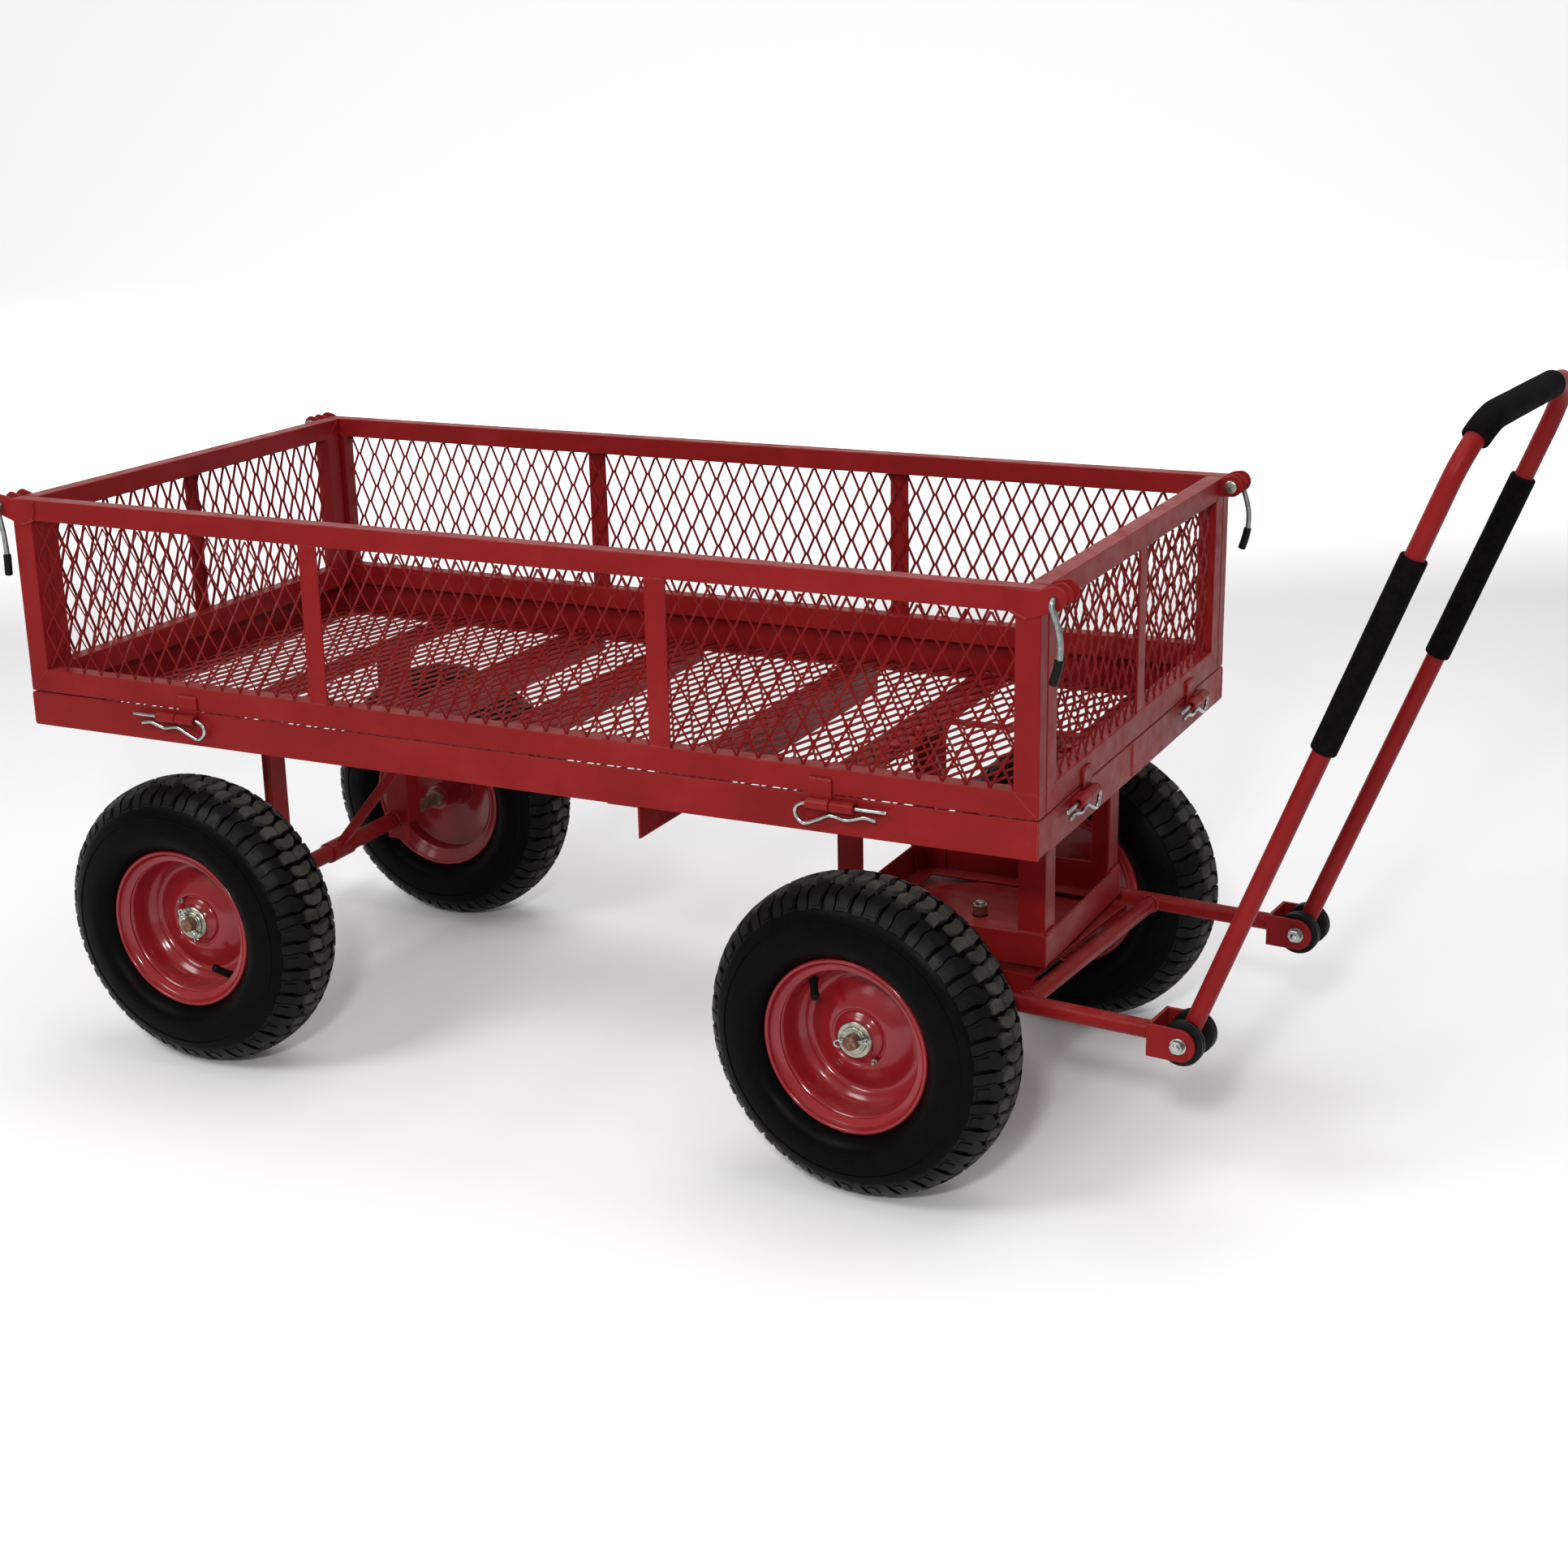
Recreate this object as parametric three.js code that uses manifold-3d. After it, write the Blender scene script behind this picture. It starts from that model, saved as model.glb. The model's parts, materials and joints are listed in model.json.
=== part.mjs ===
// Steel mesh garden wagon with fold-down sides, pneumatic tyres, a turntable front axle
// and a pull handle. Millimetres, +X to the front (the handle's end), +Z up, ground at z = 0.
import * as THREE from 'three';
import { mergeVertices } from 'three/addons/utils/BufferGeometryUtils.js';
import Module from 'manifold-3d';

const wasm = await Module();
wasm.setup();

// ---- Driving dimensions -------------------------------------------------------------------
const deckLength = 1219;
const deckWidth = 610;
const deckTop = 435; // top edge of the deck's side rails
const railHeight = 39;
const railFlange = 30;
const steel = 3; // wall of the rolled angle iron
const gap = 0.3; // left between pieces that touch
const deckCentreX = -187; // puts the origin under the middle of the whole wagon

const panelTop = 658;
const panelBottom = 436.5;
const panelFace = 26; // height of a panel's rails and width of its end posts
const panelDepth = 20; // depth of a panel's tubes
const panelWall = 1.5; // their wall
const barWidth = 24;
const barSpacing = 416; // between a long panel's two upright bars
const endPanelWidth = 2 * (deckWidth / 2 - panelDepth - 2);
const meshThickness = 1.2;

const pivotOut = 6.5; // hinge axis outboard of the deck's side
const pivotZ = 427;
const knuckleRadius = 6;
const knuckleBore = 2.9;
const knuckleLength = 26;
const clipWire = 2.1; // radius of the spring clip's wire
const longHingeX = 398; // from the deck's middle to the joint of a hinge's two knuckles
const endHingeY = 185;

const earRadius = 12;
const earOut = 12.5; // latch axis beyond the end panel's face
const latchZ = 650;
const earThickness = 3;
const latchWire = 3;
const latchDrop = 78;

const wheelRadius = 170.5;
const tyreWidth = 112;
const rimRadius = 93;
const track = 526; // between the middles of the two tyres
const hubZ = wheelRadius;
const frontAxleX = 433; // from the deck's middle; the kingpin stands over the axle
const rearAxleX = -429;
const axleRadius = 7.95;
const axleHalf = 295;
const boreRadius = 8.35;
const hubOuter = 21; // hub's outer face, outboard of the tyre's middle
const hubInner = -40;
const wheelSides = 20;

const steerRest = -5 * Math.PI / 180; // the front axle stands turned a little to the right
const ringHalf = 120; // half width of the tower's square ring
const ringTop = 246;
const ringBottom = 210.5;
const discRadius = 104;
const discThickness = 5;
const kingpinRadius = 5.5;

const drawbarZ = 194.5;
const drawbarHalf = 168; // from the middle to a side tube's centre
const tubeRadius = 9.5;
const tubeBore = 7.5;
const crossTubeX = 134; // from the kingpin
const handlePivotX = 310.5;
const handleLean = 68.7 * Math.PI / 180; // above the horizontal
const handleLength = 665; // from the pivot to the grip's centre line
const handleBend = 60;
const gripRadius = 13.5;
const frictionDisc = 23;

// ---- Materials ----------------------------------------------------------------------------
const paint = { color: 0x8e2a2c, roughness: 0.38, metalness: 0.1 };
const rimPaint = { color: 0xa02528, roughness: 0.22, metalness: 0.1 };
const meshPaint = { color: 0x84282a, roughness: 0.45, metalness: 0.1 };
const zinc = { color: 0xb9bdb8, roughness: 0.35, metalness: 0.9 };
const bareSteel = { color: 0x7d5a48, roughness: 0.55, metalness: 0.7 };
const rubber = { color: 0x1c1c1c, roughness: 0.85, metalness: 0 };
const foam = { color: 0x131313, roughness: 0.95, metalness: 0 };

// ---- Solids -------------------------------------------------------------------------------
/** The geometry with shared vertices, no collapsed triangles and its faces pointing out. */
function welded(geometry) {
  const bare = geometry.clone();
  bare.deleteAttribute('normal');
  bare.deleteAttribute('uv');
  const merged = mergeVertices(bare, 1e-4);
  const position = merged.attributes.position;
  const kept = [];
  let volume = 0;
  const a = new THREE.Vector3();
  const b = new THREE.Vector3();
  const c = new THREE.Vector3();
  for (let i = 0; i < merged.index.count; i += 3) {
    const corners = [0, 1, 2].map((k) => merged.index.getX(i + k));
    if (new Set(corners).size < 3) continue;
    kept.push(corners);
    a.fromBufferAttribute(position, corners[0]);
    b.fromBufferAttribute(position, corners[1]);
    c.fromBufferAttribute(position, corners[2]);
    volume += a.dot(b.cross(c));
  }
  if (volume < 0) kept.forEach((corners) => corners.reverse());
  const out = new THREE.BufferGeometry();
  out.setAttribute('position', position);
  out.setIndex(kept.flat());
  return out;
}

function toManifold(geometry) {
  const closed = welded(geometry);
  return new wasm.Manifold(new wasm.Mesh({
    numProp: 3,
    vertProperties: new Float32Array(closed.attributes.position.array),
    triVerts: new Uint32Array(closed.index.array),
  }));
}

function toGeometry(manifold) {
  const mesh = manifold.getMesh();
  const out = new THREE.BufferGeometry();
  out.setAttribute('position', new THREE.BufferAttribute(new Float32Array(mesh.vertProperties), 3));
  out.setIndex(new THREE.BufferAttribute(new Uint32Array(mesh.triVerts), 1));
  return out;
}

/** One body made of overlapping pieces, less the tools. */
function joined(pieces, tools = []) {
  let body = toManifold(pieces[0]);
  for (const piece of pieces.slice(1)) body = body.add(toManifold(piece));
  for (const tool of tools) body = body.subtract(toManifold(tool));
  return toGeometry(body);
}

function block(x0, x1, y0, y1, z0, z1) {
  const box = new THREE.BoxGeometry(Math.abs(x1 - x0), Math.abs(y1 - y0), Math.abs(z1 - z0));
  return box.translate((x0 + x1) / 2, (y0 + y1) / 2, (z0 + z1) / 2);
}

const vec = (x, y, z) => new THREE.Vector3(x, y, z);

/** A round bar between two points. */
function bar(from, to, radius, sides = 10) {
  const along = to.clone().sub(from);
  const geometry = new THREE.CylinderGeometry(radius, radius, along.length(), sides);
  const turn = new THREE.Quaternion().setFromUnitVectors(vec(0, 1, 0), along.clone().normalize());
  return geometry.applyQuaternion(turn).translate(...from.clone().add(to).divideScalar(2).toArray());
}

/** A closed section turned about the Y axis; points are [radius, y]. */
function turned(section, sides) {
  const points = section.map(([r, y]) => new THREE.Vector2(r, y));
  points.push(points[0].clone());
  return new THREE.LatheGeometry(points, sides);
}

/** A ring or washer about the Y axis. */
function washer(outer, inner, y0, y1, sides = 12) {
  return turned([[inner, y0], [outer, y0], [outer, y1], [inner, y1]], sides);
}

/** The corners as a path with rounded bends of one radius. */
function roundedPath(corners, radius, steps) {
  const path = [corners[0]];
  for (let i = 1; i < corners.length - 1; i += 1) {
    const back = corners[i - 1].clone().sub(corners[i]).normalize();
    const ahead = corners[i + 1].clone().sub(corners[i]).normalize();
    const half = back.angleTo(ahead) / 2;
    const centre = back.clone().add(ahead).normalize().multiplyScalar(radius / Math.sin(half));
    centre.add(corners[i]);
    const start = corners[i].clone().addScaledVector(back, radius / Math.tan(half)).sub(centre);
    const normal = back.clone().cross(ahead).normalize();
    const sweep = Math.PI - 2 * half;
    for (let k = 0; k <= steps; k += 1) {
      path.push(start.clone().applyAxisAngle(normal, -sweep * k / steps).add(centre));
    }
  }
  path.push(corners[corners.length - 1]);
  return path;
}

/** A path whose cross-sections stand exactly at the given points. */
class Route extends THREE.Curve {
  constructor(points) {
    super();
    this.points = points;
  }

  getPoint(t) {
    const place = t * (this.points.length - 1);
    const i = Math.min(Math.floor(place + 1e-9), this.points.length - 2);
    return this.points[i].clone().lerp(this.points[i + 1], place - i);
  }

  getPointAt(u) {
    return this.getPoint(u);
  }

  getTangentAt(u) {
    const last = this.points.length - 1;
    const i = Math.round(u * last);
    const before = this.points[i].clone().sub(this.points[Math.max(i - 1, 0)]).normalize();
    const after = this.points[Math.min(i + 1, last)].clone().sub(this.points[i]).normalize();
    return before.add(after).normalize();
  }
}

/** A round tube, or a wire where bore is 0, along a list of points. */
function sweep(points, radius, bore = 0, sides = 6) {
  const outline = new THREE.Shape();
  const circle = (r) => Array.from({ length: sides }, (_, k) => {
    const turn = 2 * Math.PI * k / sides;
    return new THREE.Vector2(r * Math.cos(turn), r * Math.sin(turn));
  });
  outline.setFromPoints(circle(radius));
  if (bore > 0) outline.holes.push(new THREE.Path(circle(bore)));
  return new THREE.ExtrudeGeometry(outline, {
    steps: points.length - 1,
    bevelEnabled: false,
    extrudePath: new Route(points),
  });
}

/** A flat plate: an outline in X and Z, or in Y and Z, given a thickness along the third axis. */
function plate(outline, normal, from, to) {
  const shape = new THREE.Shape(outline.map(([u, v]) => new THREE.Vector2(u, v)));
  const solid = new THREE.ExtrudeGeometry(shape, { depth: Math.abs(to - from), bevelEnabled: false });
  const low = Math.min(from, to);
  const basis = new THREE.Matrix4();
  if (normal === 'y') basis.makeBasis(vec(1, 0, 0), vec(0, 0, 1), vec(0, 1, 0));
  if (normal === 'x') basis.makeBasis(vec(0, 1, 0), vec(0, 0, 1), vec(1, 0, 0));
  if (normal === 'z') basis.makeBasis(vec(1, 0, 0), vec(0, 1, 0), vec(0, 0, 1));
  const shift = { x: [low, 0, 0], y: [0, low, 0], z: [0, 0, low] }[normal];
  return solid.applyMatrix4(basis).translate(...shift);
}

/** Points of an arc about (u, v), from one angle to another in degrees. */
function arc(u, v, radius, from, to, steps) {
  return Array.from({ length: steps + 1 }, (_, k) => {
    const turn = (from + (to - from) * k / steps) * Math.PI / 180;
    return [u + radius * Math.cos(turn), v + radius * Math.sin(turn)];
  });
}

// ---- Scene graph --------------------------------------------------------------------------
const wagon = new THREE.Group();
const deck = new THREE.Group();
deck.position.x = deckCentreX;
wagon.add(deck);

function place(parent, name, geometry, material) {
  const mesh = new THREE.Mesh(welded(geometry), new THREE.MeshStandardMaterial(material));
  mesh.name = name;
  parent.add(mesh);
  return mesh;
}

const halfLength = deckLength / 2;
const halfWidth = deckWidth / 2;
const railBottom = deckTop - railHeight;
const floorZ = railBottom + steel;
const sides = [-1, 1];

// ---- Deck ---------------------------------------------------------------------------------
/** A hinge knuckle along X, with its bore, centred on y and z. */
function knuckle(x0, x1, y, z) {
  return washer(knuckleRadius, knuckleBore, x0, x1, 8).rotateZ(-Math.PI / 2).translate(0, y, z);
}

/** A piece made for the side at -Y, turned to the given side or end of the deck. */
function turnedTo(geometry, quarterTurns) {
  return geometry.clone().rotateZ(quarterTurns * Math.PI / 2);
}

/** Deck knuckle and its weld, on the outer side of a rail whose face is at -faceY. */
function deckKnuckle(x0, x1, faceY) {
  const y = -faceY - pivotOut;
  return [
    knuckle(x0, x1, y, pivotZ),
    block(x0, x1, -faceY - 3, -faceY + 0.5, pivotZ - 4.5, pivotZ + 4.5),
  ];
}

const crossMembers = [
  // [rear edge, front edge, lip depth below the floor]
  [rearAxleX - 25, rearAxleX + 25, 0],
  [-257, -187, 14],
  [-105, -45, 14],
  [frontAxleX - ringHalf - 5, frontAxleX - ringHalf + 45, 0],
  [frontAxleX + ringHalf - 45, frontAxleX + ringHalf + 5, 0],
];
const hangingMemberX = 180;
const hangingMemberDepth = 36;

function deckFrame() {
  const pieces = [];
  for (const side of sides) {
    pieces.push(block(-halfLength, halfLength, side * halfWidth, side * (halfWidth - steel), railBottom, deckTop));
    pieces.push(block(-halfLength, halfLength, side * halfWidth, side * (halfWidth - railFlange), railBottom, floorZ));
    pieces.push(block(side * halfLength, side * (halfLength - steel), -halfWidth, halfWidth, railBottom, deckTop));
    pieces.push(block(side * halfLength, side * (halfLength - railFlange), -halfWidth, halfWidth, railBottom, floorZ));
  }
  const inside = halfWidth - 10;
  for (const [rear, front, lip] of crossMembers) {
    pieces.push(block(rear, front, -inside, inside, railBottom, floorZ));
    if (lip > 0) {
      const lipY = halfWidth - railFlange - 5;
      pieces.push(block(front - steel, front, -lipY, lipY, floorZ - lip, floorZ));
    }
  }
  const hangY = halfWidth - 5;
  const hangTop = railBottom + 0.5;
  pieces.push(block(hangingMemberX - 38, hangingMemberX, -hangY, hangY, railBottom - steel, hangTop));
  pieces.push(block(hangingMemberX - steel, hangingMemberX, -hangY, hangY, railBottom - hangingMemberDepth, hangTop));
  for (const hand of sides) {
    const x0 = hand > 0 ? longHingeX + 0.4 : -longHingeX - 0.4 - knuckleLength;
    const y0 = hand > 0 ? endHingeY + 0.4 : -endHingeY - 0.4 - knuckleLength;
    for (const piece of deckKnuckle(x0, x0 + knuckleLength, halfWidth)) {
      pieces.push(piece, turnedTo(piece, 2));
    }
    for (const piece of deckKnuckle(y0, y0 + knuckleLength, halfLength)) {
      pieces.push(turnedTo(piece, 1), turnedTo(piece, 3));
    }
  }
  return joined(pieces);
}
place(deck, 'deck_frame', deckFrame(), paint);

const sheetEdge = steel + gap;
place(deck, 'deck_floor_mesh', block(
  -halfLength + sheetEdge, halfLength - sheetEdge,
  -halfWidth + sheetEdge, halfWidth - sheetEdge,
  floorZ + gap, floorZ + gap + meshThickness,
), meshPaint);

// ---- Spring clips that are the hinge pins ---------------------------------------------------
const clipStraight = 89; // length of the leg through the knuckles

/** A clip with its straight leg along -X from x = 0, and its waved leg hanging below it. */
function hingeClip() {
  const loop = [[0, 0], [7, -5], [8.6, -9], [6, -16], [1, -20.5], [-3.5, -21.5]];
  const wave = [[-28, -10], [-46, -12.6], [-66, -8], [-78, -9.5]];
  const points = [[-clipStraight, 0], ...loop, ...wave];
  return sweep(points.map(([x, z]) => vec(x, 0, z)), clipWire);
}

/** A clip goes in from its side's middle, or from the outer end of its hinge where fromOutside is true. */
function placeClip(name, along, faceDistance, quarterTurns, fromOutside = false) {
  const clip = hingeClip();
  if ((along > 0) !== fromOutside) clip.rotateZ(Math.PI);
  const reach = (knuckleLength + 3) * (fromOutside ? 1 : -1);
  clip.translate(Math.sign(along) * (Math.abs(along) + reach), -faceDistance - pivotOut, pivotZ);
  place(deck, name, turnedTo(clip, quarterTurns), zinc);
}
const panelPlaces = [
  { name: 'right', turns: 0, face: halfWidth, hinge: longHingeX },
  { name: 'front', turns: 1, face: halfLength, hinge: endHingeY },
  { name: 'left', turns: 2, face: halfWidth, hinge: longHingeX },
  { name: 'rear', turns: 3, face: halfLength, hinge: endHingeY },
];
for (const { name, turns, face, hinge } of panelPlaces) {
  placeClip(`${name}_hinge_clip_a`, -hinge, face, turns);
  placeClip(`${name}_hinge_clip_b`, hinge, face, turns, name === 'front');
}

// ---- Side and end panels --------------------------------------------------------------------
const panelHeight = panelTop - panelBottom;

/** A round latch ear standing out past an end face; u runs out from the face. */
function earOutline(root) {
  const rise = latchZ - panelBottom;
  return [
    [root, rise - earRadius],
    ...arc(earOut, rise, earRadius, -90, 90, 6),
    [root, rise + earRadius - 5],
  ];
}

/** A latch ear whose plate is lapped over the corner of the panel's outer face. */
function lappedEarOutline() {
  const rise = latchZ - panelBottom;
  return [
    [-34, rise - 9], [-28, rise - 17], [-16, rise - 21], [-4, rise - 18],
    ...arc(earOut, rise, earRadius, -60, 90, 5),
    [-34, rise + earRadius - 5],
  ];
}

/** A panel's frame of rectangular tube: outer face at y = 0, depth to +Y, bottom at z = 0. */
function panelFrame(width, bars, hinge, earPieces, earTools) {
  const half = width / 2;
  const pieces = [];
  const inDepth = [panelWall, panelDepth - panelWall];
  const tools = [block(-4, 4, 6, 14, -1, panelWall + 1)]; // drain hole in the bottom rail
  for (const z of [0, panelHeight - panelFace]) {
    pieces.push(block(-half, half, 0, panelDepth, z, z + panelFace));
    tools.push(block(-half + panelWall, half - panelWall, ...inDepth, z + panelWall, z + panelFace - panelWall));
  }
  for (const end of sides) {
    const postOut = end * half;
    const postIn = end * (half - panelFace);
    pieces.push(block(postOut, postIn, 0, panelDepth, 0, panelHeight));
    const inWidth = [postOut - end * panelWall, postIn + end * panelWall];
    tools.push(block(...inWidth, ...inDepth, panelWall, panelHeight - panelWall));
    const inner = end * (hinge - knuckleLength);
    const outer = end * hinge;
    const x0 = Math.min(inner, outer);
    const x1 = Math.max(inner, outer);
    const axisZ = pivotZ - panelBottom;
    pieces.push(knuckle(x0, x1, -pivotOut, axisZ));
    pieces.push(block(x0, x1, -steel, -0.5, axisZ + 2, 14));
    pieces.push(block(x0, x1, -steel, 0.5, 1, 14));
  }
  for (const x of bars) pieces.push(block(x - barWidth / 2, x + barWidth / 2, 0, steel, 1, panelHeight - 1));
  return joined([...pieces, ...earPieces], [...tools, ...earTools]);
}

/** A long panel's ears stand out past its ends, and carry the latch pin. */
function longPanelEars() {
  const pieces = [];
  const tools = [];
  for (const end of sides) {
    const ears = [[lappedEarOutline(), -2], [earOutline(-1), panelDepth - earThickness - 1]];
    for (const [ear, y] of ears) {
      const outline = ear.map(([u, v]) => [end * (halfLength + u), v]);
      pieces.push(plate(outline, 'y', y, y + earThickness));
    }
    const x = end * (halfLength + earOut);
    const z = latchZ - panelBottom;
    tools.push(bar(vec(x, -5, z), vec(x, panelDepth + 5, z), latchWire + 0.5));
  }
  return [pieces, tools];
}

/** An end panel's ears stand out of its face, beside the long panels' ears. */
function endPanelEars() {
  const pieces = [];
  const tools = [];
  for (const end of sides) {
    const x = end * (endPanelWidth / 2 - 14);
    const outline = earOutline(-1).map(([u, v]) => [-u, v]);
    pieces.push(plate(outline, 'x', x, x + end * earThickness));
    const z = latchZ - panelBottom;
    tools.push(bar(vec(x - 5, -earOut, z), vec(x + 5, -earOut, z), latchWire + 0.5));
  }
  return [pieces, tools];
}

function placePanel({ name, turns, face, hinge }) {
  const long = turns % 2 === 0;
  const width = long ? deckLength : endPanelWidth;
  const bars = long ? [-barSpacing / 2, barSpacing / 2] : [0];
  const [pieces, tools] = long ? longPanelEars() : endPanelEars();
  const group = new THREE.Group();
  group.rotation.z = turns * Math.PI / 2;
  const holder = new THREE.Group();
  holder.position.set(0, -face, panelBottom);
  group.add(holder);
  deck.add(group);
  place(holder, `${name}_panel_frame`, panelFrame(width, bars, hinge, pieces, tools), paint);
  const inset = panelFace + gap;
  place(holder, `${name}_panel_mesh`, block(
    -width / 2 + inset, width / 2 - inset,
    steel + gap, steel + gap + meshThickness,
    inset, panelHeight - inset,
  ), meshPaint);
}
panelPlaces.forEach(placePanel);

// ---- Latch pins with drop handles ---------------------------------------------------------
/** The pin along +Y through both ears, then a rod that hangs down outside the long panel, bowed along X. */
function latchPin(bulge, drift) {
  const out = -halfWidth - 8;
  const tip = -halfWidth + panelDepth + 0.2;
  const bend = roundedPath([vec(0, tip, 0), vec(0, out, 0), vec(0, out, -latchDrop)], 6, 3);
  const bottom = bend.pop();
  const bowed = [0.35, 0.7, 1].map((t) => {
    const bow = bulge * Math.sin(Math.PI * t) + drift * t;
    return vec(bow, bottom.y, bottom.z * t - 6 * (1 - t));
  });
  return sweep([...bend, ...bowed], latchWire);
}
for (const [end, endName] of [[1, 'front'], [-1, 'rear']]) {
  for (const [side, sideName] of [[-1, 'right'], [1, 'left']]) {
    const pin = end > 0 ? latchPin(8, 2) : latchPin(3, 5);
    if (side > 0) pin.scale(1, -1, 1);
    pin.translate(end * (halfLength + earOut), 0, latchZ);
    place(deck, `${endName}_${sideName}_latch_pin`, pin, zinc);
  }
}

// ---- Front tower, turntable disc and kingpin ------------------------------------------------
const postLeg = 30;
const postOuter = ringHalf - steel + 0.6; // the posts are let into the ring for their welds

/** Four angle-iron posts on a square angle-iron ring, with the turntable disc under it. */
function frontTower() {
  const pieces = [];
  const x0 = frontAxleX;
  const top = railBottom - gap;
  for (const s of sides) {
    const outer = s * ringHalf;
    pieces.push(block(x0 - ringHalf, x0 + ringHalf, outer, outer - s * steel, ringBottom, ringTop));
    pieces.push(block(x0 - ringHalf, x0 + ringHalf, outer, outer - s * 24, ringBottom, ringBottom + steel));
    pieces.push(block(x0 + outer, x0 + outer - s * steel, -ringHalf, ringHalf, ringBottom, ringTop));
    pieces.push(block(x0 + outer, x0 + outer - s * 24, -ringHalf, ringHalf, ringBottom, ringBottom + steel));
    for (const t of sides) {
      const x = x0 + t * postOuter;
      const y = s * postOuter;
      pieces.push(block(x, x - t * postLeg, y, y - s * steel, ringBottom + 1, top));
      pieces.push(block(x, x - t * steel, y, y - s * postLeg, ringBottom + 1, top));
    }
    const bracket = postOuter - 1;
    pieces.push(block(x0 - bracket, x0 + bracket, s * bracket, s * (bracket - 20), top - steel, top - 0.4));
  }
  const disc = washer(discRadius, kingpinRadius + 2 * gap, ringBottom - discThickness, ringBottom + 0.5, 24);
  pieces.push(disc.rotateX(Math.PI / 2).translate(x0, 0, 0));
  return joined(pieces);
}
place(deck, 'front_tower', frontTower(), paint);

const discTop = ringBottom + 0.5;
const bolsterTop = ringBottom - discThickness - gap;
const bolsterPlate = 5;

/** Kingpin bolt: a hexagon head under the steering plate and a shank up through the discs. */
function kingpinBolt() {
  const headTop = bolsterTop - bolsterPlate - gap;
  const shank = bar(vec(0, 0, headTop - 5), vec(0, 0, discTop + 16), kingpinRadius, 12);
  const head = bar(vec(0, 0, headTop - 10), vec(0, 0, headTop), 13.5, 6);
  return joined([head, shank]).translate(frontAxleX, 0, 0);
}
place(deck, 'kingpin_bolt', kingpinBolt(), zinc);

function kingpinNut() {
  const base = discTop + gap;
  const nut = bar(vec(0, 0, base), vec(0, 0, base + 12.3), 8.7, 6);
  const bore = bar(vec(0, 0, base - 5), vec(0, 0, base + 25), kingpinRadius + gap, 12);
  return joined([nut], [bore]).translate(frontAxleX, 0, 0);
}
place(deck, 'kingpin_nut', kingpinNut(), zinc);

// ---- Axles --------------------------------------------------------------------------------
const collarRadius = 13;
const cotterY = track / 2 + hubOuter + 6.5;
const cotterWire = 1.7;
const frontCotterTurns = [1.83, 0.6]; // right, left, from upright
const rearCotterTurns = [0.55, 1.2];

/** An axle along Y with a collar inside each wheel and a hole for each cotter pin. */
function axle(cotterTurns) {
  const collarOut = track / 2 + hubInner - gap;
  const collarIn = collarOut - 10;
  const body = turned([
    [0, -axleHalf], [axleRadius, -axleHalf], [axleRadius, -collarOut], [collarRadius, -collarOut],
    [collarRadius, -collarIn], [axleRadius, -collarIn], [axleRadius, collarIn],
    [collarRadius, collarIn], [collarRadius, collarOut], [axleRadius, collarOut],
    [axleRadius, axleHalf], [0, axleHalf],
  ], 12);
  const holes = sides.map((s, end) => {
    const hole = bar(vec(0, s * cotterY, -20), vec(0, s * cotterY, 20), cotterWire + gap, 6);
    return hole.rotateY(s * cotterTurns[end]);
  });
  return joined([body], holes);
}
place(deck, 'rear_axle', axle(rearCotterTurns).translate(rearAxleX, 0, hubZ), bareSteel);

/** A split pin as one wire: a leg through the axle and a round eye above it. */
function cotterPin() {
  const eye = arc(0, 17, 4, -90, 200, 6);
  return sweep([vec(0, 0, -14), ...eye.map(([x, z]) => vec(x, 0, z))], cotterWire);
}

// ---- Rear axle frame ------------------------------------------------------------------------
const sleeveRadius = 10.5;
const rearLegY = 120;

/** Two angle-iron legs, a sleeve round the axle between them and a brace to a cross member. */
function rearAxleFrame() {
  const top = railBottom - gap;
  const foot = hubZ - 25;
  const pieces = [];
  const tools = [bar(vec(rearAxleX, -200, hubZ), vec(rearAxleX, 200, hubZ), boreRadius, 12)];
  for (const s of sides) {
    const y = s * rearLegY;
    pieces.push(block(rearAxleX - 9, rearAxleX + 24, y, y + s * steel, foot, top));
    pieces.push(block(rearAxleX + 24 - steel, rearAxleX + 24, y, y + s * 30, foot + 22, top));
    pieces.push(block(rearAxleX - 9, rearAxleX + 24, y, y + s * 30, top - steel, top));
  }
  pieces.push(bar(vec(rearAxleX, -rearLegY, hubZ), vec(rearAxleX, rearLegY, hubZ), sleeveRadius, 12));
  pieces.push(bar(vec(rearAxleX, -22, hubZ), vec(rearAxleX, 22, hubZ), sleeveRadius + 2.5, 12));
  const braceTop = vec(-252, 0, top - 14.5);
  const braceFoot = vec(rearAxleX + 6, 0, hubZ + 8);
  pieces.push(bar(braceFoot, braceTop, 7, 8));
  pieces.push(block(braceTop.x - 14, braceTop.x + 14, -14, 14, top - 19, top - 14.2));
  return joined(pieces, tools);
}
place(deck, 'rear_axle_frame', rearAxleFrame(), paint);

// ---- Wheels -------------------------------------------------------------------------------
const tyreHalf = tyreWidth / 2;
const beadSeat = 80;
const flangeY = 42; // rim flange's outer plane, from the tyre's middle

/** Half-round arch of a tyre's wall, from low at its sides to high under the tread. */
function tyreArch(low, high, half, start, steps) {
  const power = 2 / 2.45;
  return Array.from({ length: steps + 1 }, (_, k) => {
    const turn = start + (Math.PI - 2 * start) * k / steps;
    const y = Math.sign(Math.cos(turn)) * half * Math.abs(Math.cos(turn)) ** power;
    return [low + (high - low) * Math.sin(turn) ** power, y];
  });
}

/** The points and, in reverse, the same points on the other side of the wheel. */
function mirrored(points, middle = []) {
  return [...points, ...middle, ...points.map(([r, y]) => [r, -y]).reverse()];
}

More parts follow.
